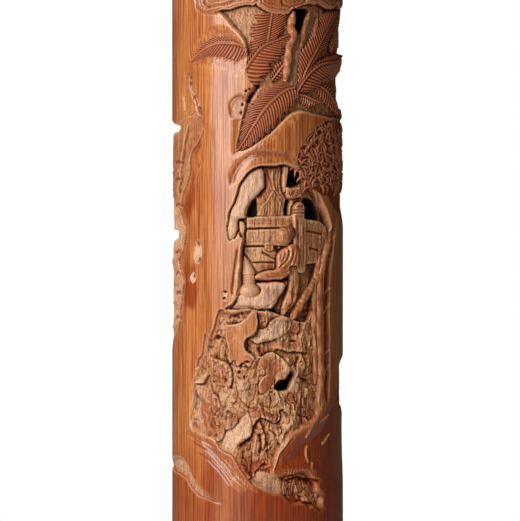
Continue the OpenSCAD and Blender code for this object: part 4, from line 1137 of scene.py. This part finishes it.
breaks = [int(round((z - CULM_BASE) / (HEIGHTS[1] - HEIGHTS[0]))) for z in BANDS]
for number, (first, last) in enumerate(zip(breaks, breaks[1:]), 1):
    culm_band(number, first, last)

# Palm and banana leaves: carved in the round from the same culm, so they stand on the ground with
# their veins cut in fine ridges from the midrib to a scalloped edge.
LEAVES = {
    "palm_leaf_left": (23, 0.25, 1.5, 9, [
        [(-3.2, 160.2), (-3.1, 159.2), (-2.7, 157.6)], [(-5, 161.4), (-4.2, 160.1), (-4.6, 155.4)],
        [(-6.8, 162.7), (-5.8, 160.8), (-6.9, 153.8)], [(-9.6, 164), (-7.9, 161.1), (-10, 154.6)],
        [(-12.6, 164.1), (-10.4, 161.2), (-12.8, 155.5)], [(-15.2, 163.5), (-13, 160.9), (-15.6, 155.8)],
        [(-17.7, 161.8), (-16, 159.9), (-18.4, 155.6)], [(-20.6, 158.9), (-19.4, 158.1), (-20.8, 155.4)],
        [(-22.7, 155.9), (-22.6, 155.7), (-22.5, 155.4)]]),
    "palm_leaf_upright": (14, 0.75, 1.8, 5, [
        [(-2.2, 157.6), (3, 160.6), (5.4, 161.6)], [(-3.2, 159.8), (3.3, 163), (8.4, 164.6)],
        [(-2.4, 162.2), (3.6, 165), (9.2, 167)], [(-3, 164.6), (3.9, 167), (10.2, 169.2)],
        [(-1.6, 167), (4.2, 168.6), (8.8, 170.2)], [(-1.2, 169.4), (4.5, 170.4), (6.4, 170.8)]]),
    "palm_leaf_far_right": (25, 0.7, 1.8, 0, [
        [(13, 149.6), (14.4, 151), (15.4, 150.9)], [(13, 155), (16, 154), (17.4, 153.6)],
        [(13.6, 158.8), (18, 156.8), (20.6, 156.4)], [(16.4, 161.6), (20, 159.4), (23.6, 158.8)],
        [(18.2, 164.6), (22.2, 162), (26, 161.6)], [(20.8, 167.8), (25, 165), (29, 164)],
        [(25.6, 170.4), (29, 168.6), (32, 167.4)], [(32, 171.2), (32.4, 170.8), (32.8, 170.4)]]),
    "palm_leaf_small": (8, 1.0, 1.6, 0, [
        [(3.7, 150.2), (4, 149.9), (4.4, 149.6)], [(4.2, 153), (5.6, 151.8), (7, 150.6)],
        [(5.4, 155.2), (7, 153.6), (8.8, 152.2)], [(8.2, 156.4), (8.9, 155.8), (9.4, 155)]]),
    "palm_leaf_centre": (20, 0.2, 1.9, 6, [
        [(-3.9, 151.2), (-3.5, 151.4), (-0.8, 147.9)], [(-4.5, 153), (-3.8, 152.9), (1.2, 149.6)],
        [(-4.3, 154.8), (-3, 154.5), (3.9, 151.7)], [(-3.3, 156.7), (-1.9, 156.2), (4.8, 153.8)],
        [(-2, 158.5), (-0.6, 157.9), (5.4, 155.3)], [(-0.4, 160.3), (1, 159.8), (8.4, 156.8)],
        [(2.4, 161.6), (3.4, 161.1), (9, 158.8)], [(5.6, 162.7), (6.4, 162.2), (10.3, 160.6)],
        [(8.6, 163.8), (9, 163.3), (11.7, 162.6)], [(11.4, 164.7), (11.6, 164.5), (11.8, 164.2)]]),
    "palm_leaf_dark_low": (13, 1.0, 1.8, 6, [
        [(20, 150.2), (19.6, 149.4), (19, 148)], [(23.6, 150.6), (22.8, 148.4), (21.4, 145.6)],
        [(27.6, 149.6), (26.2, 146.8), (24, 143.6)], [(31, 147), (29.6, 144.6), (27.4, 141.8)],
        [(33.6, 143.4), (32.6, 142.2), (31.2, 141)], [(34.6, 140.6), (34.4, 140.4), (34.2, 140.2)]]),
    "palm_leaf_dark_high": (14, 1.0, 1.8, 5, [
        [(27, 159.4), (27.4, 158.8), (28, 158.2)], [(28.4, 163.6), (30, 162), (31.8, 160.4)],
        [(31, 167), (32.8, 165.2), (35, 163.6)], [(34, 169.4), (35.8, 167.8), (37.8, 166.4)],
        [(37, 171), (38.4, 170), (39.8, 169)], [(40.4, 172), (40.6, 171.8), (40.8, 171.6)]]),
    "palm_leaf_drooping": (9, 0.8, 1.4, 4, [
        [(13.4, 147), (13.2, 146.3), (12.4, 144.6)], [(16, 146.8), (15.6, 145.8), (14.4, 143.2)],
        [(18.6, 146), (18, 145), (16.6, 142.2)], [(20.8, 144.6), (20.7, 144.1), (20.2, 143.4)]]),
    "palm_leaf_right": (24, 0.35, 1.8, 7, [
        [(11.9, 147.5), (12.3, 147.1), (13, 146.9)], [(12.8, 149.2), (13.4, 148.6), (17, 146.5)],
        [(14.4, 151.4), (15.1, 150.7), (21, 147.4)], [(17, 154), (17.8, 153.2), (24, 148.8)],
        [(20.6, 156), (21, 154.9), (27, 149.8)], [(24.8, 157.4), (25, 155.6), (30, 150.8)],
        [(29.6, 158), (29.8, 156), (33.4, 151.8)], [(34, 158.4), (34.2, 157), (37, 153.6)],
        [(38.8, 158.2), (39, 157.8), (39.4, 157)]]),
    "palm_leaf_low": (27, 0.1, 1.9, 10, [
        [(9.4, 149.5), (11.2, 148.2), (13.4, 145.6)], [(6, 149.5), (9.4, 147.9), (12.6, 143.9)],
        [(2.6, 148.3), (7.4, 146.9), (10.9, 142.4)], [(0.2, 146.6), (5.2, 145.2), (9, 140.3)],
        [(-1.9, 144.2), (3.1, 143.1), (6.8, 138.2)], [(-3.6, 141.4), (1.1, 140.6), (4.2, 134.9)],
        [(-5, 138), (-0.5, 138.2), (2.4, 134)], [(-5.4, 135.4), (-2, 136), (0.8, 132.4)],
        [(-5.8, 132.6), (-3.4, 133.6), (-1.3, 131.2)], [(-6.3, 130.4), (-5, 131.4), (-3.6, 130.2)],
        [(-6.6, 129.5), (-6.4, 129.6), (-6.1, 129.5)]]),
}


def carved_leaf(name, veins, top, thick, lobes, stations):
    """A leaf as a grid: along it run the given stations, across it the share w from one edge (-1) by
    the midrib (0) to the other (1). Its depth is a groove on each side of a raised midrib, a swell in
    each half, a roll-down at the edges, and the veins: a cosine along the leaf, swept towards the tip as
    w grows. The edge is torn into lobes, each a ramp that ends in a notch, and toothed at each vein."""
    line = flowing(np.array(stations).reshape(len(stations), 6), steps=8)
    length = np.append(0, np.cumsum(np.hypot(*np.diff(line[:, 2:4], axis=0).T)))
    s = np.linspace(0, 1, veins * 12)
    line = np.stack([np.interp(s * length[-1], length, column) for column in line.T], 1).reshape(-1, 3, 2)
    w = np.linspace(-1, 1, 27)[None, :]
    half = np.abs(w)
    side = np.where((w < 0)[..., None], line[:, :1] - line[:, 1:2], line[:, 2:3] - line[:, 1:2])
    torn = 1 - (s[:, None] * max(lobes, 1) + 0.37 * (w > 0)) % 1
    tooth = 0.5 - 0.5 * np.cos(2 * np.pi * veins * (s[:, None] - 0.1 * half**1.4))
    reach = half * (1 - (0.26 * (lobes > 0) * torn**2 + 0.08 * tooth) * half**3)
    place = line[:, 1:2] + reach[..., None] * side
    gap = np.hypot(side[..., 0], side[..., 1]) * reach
    shown = smooth(half * 9 - 0.5)
    furrow = tooth**0.7 * shown
    depth = (top - 0.3 * np.sin(np.pi * half**0.8) + 0.6 * half**8 + 0.42 * furrow
             - 0.3 * np.exp(-((gap / 0.26) ** 2)) + 0.3 * np.exp(-(((gap - 0.5) / 0.2) ** 2)))
    depth = np.maximum(depth + 0.15, 0.02)
    under = np.full((len(s), 1), top + thick)
    grid = np.concatenate([on_wall(place[..., 0], place[..., 1], depth),
                           on_wall(place[:, -1:, 0], place[:, -1:, 1], under),
                           on_wall(place[:, :1, 0], place[:, :1, 1], under)], 1)
    # Painted shade in the vein furrows, in the groove beside the midrib, towards the edges and all under
    # the leaf; painted highlight on the vein crests and the midrib.
    dark = furrow**2 * 0.6 + 0.5 * np.exp(-(((gap - 0.5) / 0.22) ** 2)) + 0.2 * half**6
    bright = (1 - furrow) * 1.15 * shown + np.exp(-((gap / 0.3) ** 2)) * 1.5
    under_side = np.ones((len(s), 2))
    return on_culm(name, grid, skin=0.6, stain=0.95, pale=0.0,
                   hollow=np.clip(np.concatenate([dark, under_side * 0.8], 1), 0, 1),
                   proud=np.clip(np.concatenate([bright, under_side * 0], 1), 0, 1))


for name, leaf in LEAVES.items():
    carved_leaf(name, *leaf)

# Stems and trunks: rounded, jointed ridges left standing clear of the ground.
STEMS = {
    "banana_stem": ([(11.4, 170.4, 0.9), (10.8, 168, 0.7), (10.4, 166, 0.7), (11.2, 163, 0.6),
                     (10, 161, 0.7), (9.6, 158, 0.8), (9.3, 155, 0.8), (9, 152.4, 0.8), (8.6, 150, 0.9)],
                    1.25, 9),
    "thin_stem": ([(13.9, 159.6, 1.4), (14.6, 162, 1.2), (15.2, 165, 1.1), (16.2, 168, 1),
                   (17.8, 170.6, 1)], 0.75, 5),
    "far_stem": ([(18.8, 162.6, 1.1), (19.6, 165.4, 1), (20.6, 168.6, 1)], 0.7, 3),
    "tree_trunk": ([(27.6, 106, 1.1), (25.6, 102.6, 0.9), (23.4, 98.4, 0.8), (21.8, 94.4, 0.7),
                    (20.9, 90, 0.6), (20.8, 85, 0.6), (20.7, 80, 0.7), (21, 76, 0.6), (21.2, 71, 0.6),
                    (21.5, 67, 0.6), (21.8, 62, 0.6), (21, 56, 1.0)], 1.25, 11),
    "tree_trunk_left": ([(22.4, 99.4, 1.4), (20.3, 95, 1.0), (19.2, 90, 0.9), (19, 84, 0.9), (19, 78, 1.0),
                         (19.3, 72, 0.9), (19.7, 66, 1.1), (19.9, 62, 1.3)], 0.85, 8),
    "tree_trunk_upper": ([(28.8, 110, 1.3), (27.4, 106.4, 1.1), (25.4, 103.4, 1.2), (24.6, 108, 1.4)], 0.8,
                         4),
    "tree_branch": ([(10.6, 80.6, 1.4), (12.6, 83.4, 1.1), (14.2, 85.8, 1), (16.4, 88.6, 1), (18.6, 91, 1),
                     (20.6, 94, 0.9), (22.8, 97.6, 0.9)], 1.1, 7),
    "tree_root_left": ([(12.4, 95.6, 2), (11.2, 92, 1.6), (10.7, 89, 1.5), (10.3, 86, 1.6), (9, 83.4, 1.8)],
                       0.7, 4),
    "tree_root_right": ([(14, 94, 2), (12.8, 90, 1.7), (12.2, 87, 1.6), (10.9, 84.6, 1.8)], 0.6, 4),
    "low_root": ([(26.8, 66.4, 1.6), (25.6, 62.4, 1.5), (24, 59, 1.5), (21.8, 55.4, 1.7)], 0.7, 3),
    "pine_trunk": ([(84, 92, 1.2), (82, 104, 0.7), (85, 114, 0.6), (80, 124, 0.7), (74, 131, 1),
                    (68, 136, 1.2)], 1.7, 9),
    "pine_branch": ([(84.4, 113, 1), (89, 118, 0.8), (93, 121, 0.9), (97, 126, 1.2)], 0.9, 4),
}


def carved_stem(name, path, radius, joints):
    """A half-sunk tube along a path (round, up, depth), thinner at its ends, with a swell at each joint."""
    line = flowing(path, steps=12)
    s = np.linspace(0, 1, len(line))
    ahead = np.gradient(line[:, :2], axis=0)
    ahead /= np.linalg.norm(ahead, axis=1)[:, None]
    size = radius * (0.8 + 0.2 * np.sin(np.pi * s)) * (1 + 0.18 * np.cos(2 * np.pi * joints * s) ** 8)
    size *= np.clip(np.minimum(s, 1 - s) * 14, 0.3, 1) ** 0.5
    turn = np.linspace(0, 2 * np.pi, 17)[:-1][None, :]
    run = joints * s[:, None]
    bark = 1 + 0.13 * np.sin(3 * turn + 4 * run) + 0.06 * np.sin(7 * turn - 9 * run)
    across, out = size[:, None] * bark * np.cos(turn), size[:, None] * bark * np.sin(turn) * 0.9
    u = line[:, :1] - ahead[:, 1:] * across
    z = line[:, 1:2] + ahead[:, :1] * across
    depth = np.maximum(line[:, 2:] + 0.35 - out, 0.03)
    # Painted shade at each joint and on the side sunk in the wall; painted highlight along one flank.
    dark = 0.45 * np.cos(2 * np.pi * run) ** 8 * (1 - np.sin(turn)) + 0.25 * (np.sin(turn) < 0)
    return on_culm(name, on_wall(u, z, depth), skin=0.3, stain=0.5, pale=0.0, hollow=np.clip(dark, 0, 1),
                   proud=smooth(np.cos(turn - 2.3)) * (0.6 + 0.4 * np.sin(5 * run)))


for name, (path, radius, joints) in STEMS.items():
    carved_stem(name, path, radius, joints)

# Foliage: short strokes in fans over the tree at the right, needle pads on the pine behind, and a
# little blossom above the gatepost.
luck = np.random.default_rng(31)


def strokes(name, centres, angles, lengths, widths, tops, curl=0.0):
    """Many small pointed ridges in one piece: each is five diamond sections along its own curling line."""
    s = np.array([0.02, 0.3, 0.6, 0.85, 1.0])[None, :, None]
    fat = np.array([0.35, 1.0, 0.85, 0.5, 0.08])[None, :, None]
    side = np.array([-1.0, 0, 1.0, 0])[None, None, :]
    lift = np.array([0.0, 1.0, 0, -1.2])[None, None, :]
    n = len(centres)
    a = angles[:, None, None] + curl * (np.arange(n) % 2 * 2 - 1)[:, None, None] * s
    along, fat = lengths[:, None, None] * s, widths[:, None, None] * fat
    u = centres[:, 0, None, None] + along * np.cos(a) - fat * side * np.sin(a)
    z = centres[:, 1, None, None] + along * np.sin(a) + fat * side * np.cos(a)
    depth = np.maximum(tops[:, None, None] + 0.4 - fat * lift * 1.3, 0.03)
    points = on_wall(u, z, depth).reshape(-1, 3)
    block = np.array([[r * 4 + c, r * 4 + (c + 1) % 4, r * 4 + 4 + (c + 1) % 4, r * 4 + 4 + c]
                      for r in range(4) for c in range(4)] + [[3, 2, 1, 0], [16, 17, 18, 19]])
    faces = (block[None] + (np.arange(n) * 20)[:, None, None]).reshape(-1, 4).tolist()
    # Painted shade on each stroke's flanks and underside, and a painted highlight along its crest.
    shade = np.broadcast_to(np.array([0.6, 0.0, 0.6, 0.9])[None, None, :], u.shape)
    even = np.ones(u.shape)
    values = dict(zip(FIELDS, (0.6 * even, 0.7 * even, 0 * even, shade * 0.4, 1 - shade)))
    return piece(name, points, faces, bamboo, ("carved_culm",), values)


def fans(hubs, per_fan, spread, length, top, width=0.27):
    """Strokes that fan out from each hub: their starts, directions, lengths, widths and depths."""
    hub = np.repeat(np.array(hubs, float), per_fan, 0)
    count = len(hub)
    share = np.tile(np.linspace(-1, 1, per_fan), len(hubs))
    angle = hub[:, 2] + share * spread + luck.normal(0, 0.12, count)
    start = hub[:, :2] + luck.normal(0, 0.35, (count, 2))
    lengths, widths = length * luck.uniform(0.7, 1.2, count), width * luck.uniform(0.75, 1.25, count)
    return start, angle, lengths, widths, top + luck.uniform(0, 0.5, count)


tree_hubs = [(13.5 + 3.9 * i + 1.6 * (j % 2), 119 + 3.1 * j + 0.4 * i, 1.7 - 0.3 * i + 0.5 * (j % 3))
             for i in range(7) for j in range(6) if i + j > 0.5 and j < 6 - 0.25 * i]
strokes("tree_foliage", *fans(tree_hubs, 8, 1.5, 3.8, 0.1, 0.42), curl=0.8)
pine_hubs = [(66 + 3.1 * i, 134 + 2.6 * (i % 3) + (2 if i < 5 else -6 - 1.2 * (i - 5)), 1.57)
             for i in range(11)]
pine_hubs += [(u0 + 1.4, z0 + 2.2, lean) for u0, z0, lean in pine_hubs]
strokes("pine_needles", *fans(pine_hubs, 15, 1.4, 2.6, 0.4))
blossom_hubs = [(10.2, 117.8, 1.2), (12.2, 117.4, 2.2), (13.6, 118.6, 0.4), (15, 119.4, 1.0),
                (17.4, 119.2, 0.3)]
strokes("blossom", *fans(blossom_hubs, 7, 2.4, 1.3, 0.7))

# Scholar's head and knot of hair: a small rounded head with calm, regular features, turned towards
# the garden, and a burner that stands on the stone table.
HEAD_AT = (8.4, 104.9, 2.1)
HEAD_R = 2.3
lat = np.linspace(-np.pi / 2 + 0.06, np.pi / 2 - 0.06, 44)[:, None]
lon = np.linspace(0, 2 * np.pi, 73)[:-1][None, :]


def bell(turn, height, wide, tall):
    """1 in one direction from a body's middle, falling off as a bell curve round it and up it."""
    round_it = ((lon - turn + np.pi) % (2 * np.pi) - np.pi) / wide
    return np.exp(-(round_it**2) - ((lat - height) / tall) ** 2)


def rounded_body(centre, radii, lean=0.0, bumps=()):
    """An ellipsoid on the wall, from its foot to its crown, whose radius swells by the given bells."""
    swell = 1 + 0 * lat + 0 * lon
    for *place, rise in bumps:
        swell = swell + rise * bell(*place)
    across, up = np.cos(lat) * np.sin(lon) * swell * radii[0], np.sin(lat) * swell * radii[1]
    out = np.cos(lat) * np.cos(lon) * swell * radii[2]
    u = centre[0] + across * np.cos(lean) - up * np.sin(lean)
    z = centre[1] + up * np.cos(lean) + across * np.sin(lean)
    return on_wall(u, z, np.maximum(centre[2] - out, 0.03))


FACE_TURN = -0.45
EYE_APART = 0.32
FACE = [
    (FACE_TURN, 0.0, 0.09, 0.22, 0.08), (FACE_TURN, -0.26, 0.12, 0.1, 0.13),
    (FACE_TURN, -0.5, 0.17, 0.05, 0.05), (FACE_TURN, -0.64, 0.14, 0.06, 0.04),
    (FACE_TURN, -0.9, 0.24, 0.16, 0.06), (FACE_TURN + 1.5, -0.05, 0.12, 0.24, 0.09),
]
# Painted shade in the face: at the mouth, under the nose, in the eyes and in the creases above them.
features = 0.9 * bell(FACE_TURN, -0.57, 0.17, 0.035) + 0.5 * bell(FACE_TURN, -0.37, 0.14, 0.04)
for side in (-1, 1):
    eye = FACE_TURN + side * EYE_APART
    FACE += [(eye, 0.24, 0.22, 0.07, 0.04), (eye, 0.06, 0.2, 0.12, -0.07), (eye, 0.0, 0.13, 0.06, 0.04),
             (FACE_TURN + side * 0.5, -0.34, 0.26, 0.2, 0.03)]
    features = features + 0.9 * bell(eye, -0.06, 0.16, 0.04) + 0.45 * bell(eye, 0.17, 0.24, 0.04)
# On these small pieces, hollow lays a flat painted shade and proud a faint painted highlight.
on_culm("scholar_head", rounded_body(HEAD_AT, (HEAD_R, HEAD_R * 1.2, HEAD_R * 0.9), 0.12, FACE),
        skin=0.5, stain=0.1, pale=0.15, hollow=np.clip(features * 1.3, 0, 1), proud=0.1)
combed = [(turn, 0.3, 0.09, 1.2, 0.05) for turn in np.arange(-2.4, 2.5, 0.4)]
# The hair is darkened as painted shade, most in stripes between the combed strands.
on_culm("scholar_hair", rounded_body((10.6, 106.2, 2.2), (1.8, 2.2, 2.0), 0.3, combed),
        skin=0.5, stain=0.6, pale=0.0, hollow=0.35 + 0.4 * np.cos(lon / 0.4 * np.pi) ** 2, proud=0.1)
on_culm("hair_knot", rounded_body((10.1, 108.5, 1.9), (0.95, 0.8, 0.9)),
        skin=0.5, stain=0.6, pale=0.0, hollow=0.15, proud=0.2)


def turned_on_wall(outline, depth, flat=0.7):
    """A small turned vessel, half sunk in the wall: (radius, height, middle) up its side."""
    r, z, middle = flowing(outline, steps=6).T[:, :, None]
    turn = np.linspace(0, 2 * np.pi, 33)[:-1][None, :]
    return on_wall(middle + r * np.sin(turn), z + 0 * turn, depth - flat * r * np.cos(turn))


burner = [(1.2, 87.2, -2.7), (2.7, 87.5, -2.7), (3.4, 88.6, -2.7), (3.2, 89.9, -2.7), (2.2, 90.9, -2.8),
          (1.8, 91.3, -2.8), (2.1, 91.7, -2.8), (1.8, 92.1, -2.8), (2.1, 92.5, -2.8), (1.8, 92.9, -2.8),
          (2.1, 93.3, -2.8), (1.8, 93.7, -2.9), (2.1, 94.1, -2.9), (2.0, 94.8, -2.9), (1.75, 95.6, -3.1),
          (1.3, 96.9, -3.5), (0.7, 98.2, -3.9), (0.15, 99.2, -4.2)]
# The burner gets a flat painted highlight through proud.
on_culm("burner", turned_on_wall(burner, 2.7), skin=0.2, stain=0.1, pale=0.7, hollow=0.0, proud=0.3)

# Pins: round bamboo pegs, three at each end, driven through the wall into the rings' spigots and
# dressed just below the skin.
PIN_LENGTHS = {"foot": 7.39, "rim": 6.91}
PIN_END = CULM_R - 0.15
peg_r = PIN_R * np.array([0.85, 1.0, 1.0, 0.93, 0.7])[:, None]
peg_angle = np.linspace(0, 2 * np.pi, 25)[:-1][None, :]
side, rise = peg_r * np.cos(peg_angle), peg_r * np.sin(peg_angle)
for end, length in PIN_LENGTHS.items():
    start = PIN_END - length
    along = np.array([start, start + 0.05, PIN_END - 0.25, PIN_END - 0.08, PIN_END])[:, None]
    for number in (1, 2, 3):
        low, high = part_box(f"{end}_pin_{number}")
        turn = np.radians(30 + 120 * number)
        peg = np.stack([along * np.cos(turn) - side * np.sin(turn),
                        along * np.sin(turn) + side * np.cos(turn), (low.z + high.z) / 2 * MM + rise], -1)
        swept(f"{end}_peg_{number}", peg, board, (f"{end}_pin_{number}",))

# Sleeve: a thin turned tube in black lacquer that stands on the foot's spigot behind the cuts, so
# that brush handles can't catch in them.
SLEEVE_R = SPIGOT_R - 0.1
WELL_R = SLEEVE_R - 0.8
SLEEVE_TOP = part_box("lacquer_sleeve")[1].z * MM
LACQUER_DARK = (12, 9, 8)
LACQUER_LIGHT = (26, 17, 14)


def lacquer_look(flow, place):
    """Near-black with faint brush marks and a little wear."""
    marks = place.scaled(0.2, 0.2, 1.2).noise(1.0, 3.0)
    colour = marks.between(0.4, 0.75).blend(paint(LACQUER_DARK), paint(LACQUER_LIGHT))
    return colour, 0.4 + marks * 0.2, marks * 0.01


lacquer = material("black_lacquer", lacquer_look, Specular_IOR_Level=0.25)
sleeve_profile = [(WELL_R, FLOOR_TOP), (SLEEVE_R, FLOOR_TOP), (SLEEVE_R, 70), (SLEEVE_R, 130),
                  (SLEEVE_R, SLEEVE_TOP), (WELL_R, SLEEVE_TOP), (WELL_R, 130), (WELL_R, 70)]
swept("well_sleeve", around(sleeve_profile, TURNING), lacquer, ("lacquer_sleeve",), ring=True)

# Rim ring: dark hardwood turned with a half-round lip, and a spigot glued and pegged into the
# mouth of the culm.
RIM_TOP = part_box("rim_ring")[1].z * MM
RIM_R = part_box("rim_ring")[1].x * MM
MOUTH_R = SPIGOT_R - 1.6
LIP_R = (RIM_TOP - CULM_TOP) / 2
rim_profile = [
    (MOUTH_R, SLEEVE_TOP), (SPIGOT_R - 0.2, SLEEVE_TOP), (SPIGOT_R, SLEEVE_TOP + 0.2), (SPIGOT_R, CULM_TOP),
    *arc(RIM_R - LIP_R, CULM_TOP + LIP_R, LIP_R, -90, 90, 23),
    *arc(MOUTH_R + 1.5, RIM_TOP - 1.5, 1.5, 90, 180, 9), (MOUTH_R, CULM_TOP),
]
swept("turned_rim", around(rim_profile, TURNING), hardwood, ("rim_ring",), ring=True)

# Studio: a pale floor, one large soft light at the upper left, a weak warm surround that shows
# white behind the holder, and a long lens level with the carving.
STUDIO_R = 0.45
FLOOR_COLOUR = (0.8, 0.8, 0.79, 1)
floor_mesh = bpy.data.meshes.new("studio_floor")
edge = [(STUDIO_R * np.cos(a), STUDIO_R * np.sin(a), 0.0) for a in np.linspace(0, 2 * np.pi, 65)[:-1]]
floor_mesh.from_pydata(edge, [], [list(range(len(edge)))])
studio_floor = bpy.data.objects.new("studio_floor", floor_mesh)
bpy.context.scene.collection.objects.link(studio_floor)
floor_paint = bpy.data.materials.new("studio_floor")
floor_paint.use_nodes = True
floor_shader = floor_paint.node_tree.nodes["Principled BSDF"]
floor_shader.inputs["Base Color"].default_value = FLOOR_COLOUR
floor_shader.inputs["Roughness"].default_value = 0.9
floor_mesh.materials.append(floor_paint)

LOOK_AT = np.array([0.0007, 0.0, 0.098])
KEY_AZIMUTH, KEY_ELEVATION = np.radians(-39), np.radians(23.5)
KEY_DISTANCE, KEY_WIDE, KEY_HIGH, KEY_POWER = 0.9, 0.8, 0.75, 9.9
SURROUND_COLOUR = (1.0, 0.78, 0.58, 1)
SURROUND = 0.07

away = np.array([np.sin(KEY_AZIMUTH) * np.cos(KEY_ELEVATION), -np.cos(KEY_AZIMUTH) * np.cos(KEY_ELEVATION),
                 np.sin(KEY_ELEVATION)])
key = bpy.data.lights.new("key", "AREA")
key.shape, key.size, key.size_y, key.energy = "RECTANGLE", KEY_WIDE, KEY_HIGH, KEY_POWER
key_object = bpy.data.objects.new("key", key)
key_object.location = (LOOK_AT + away * KEY_DISTANCE).tolist()
key_object.rotation_euler = Vector((-away).tolist()).to_track_quat("-Z", "Y").to_euler()
key_object.visible_camera = False
bpy.context.scene.collection.objects.link(key_object)

world = bpy.data.worlds.new("studio")
bpy.context.scene.world = world
world.use_nodes = True
sky = Flow(world.node_tree)
seen = sky.node("ShaderNodeLightPath", {}, {}, "Is Camera Ray")
background = world.node_tree.nodes["Background"]
world.node_tree.links.new(seen.blend(SURROUND_COLOUR, (1, 1, 1, 1)).socket, background.inputs["Color"])
world.node_tree.links.new((SURROUND + seen * (1 - SURROUND)).socket, background.inputs["Strength"])
bpy.context.scene.view_settings.view_transform = "Standard"

FRAME_HEIGHT = 0.1523
LENS, SENSOR = 900.0, 36.0
camera = bpy.data.cameras.new("camera")
camera.lens, camera.sensor_width = LENS, SENSOR
camera_object = bpy.data.objects.new("camera", camera)
distance = FRAME_HEIGHT / 2 / (SENSOR / 2 / LENS)
camera_object.location = (LOOK_AT[0], -distance, LOOK_AT[2])
camera_object.rotation_euler = (np.pi / 2, 0, 0)
camera.clip_start, camera.clip_end = 0.1, 20
bpy.context.scene.collection.objects.link(camera_object)
bpy.context.scene.camera = camera_object
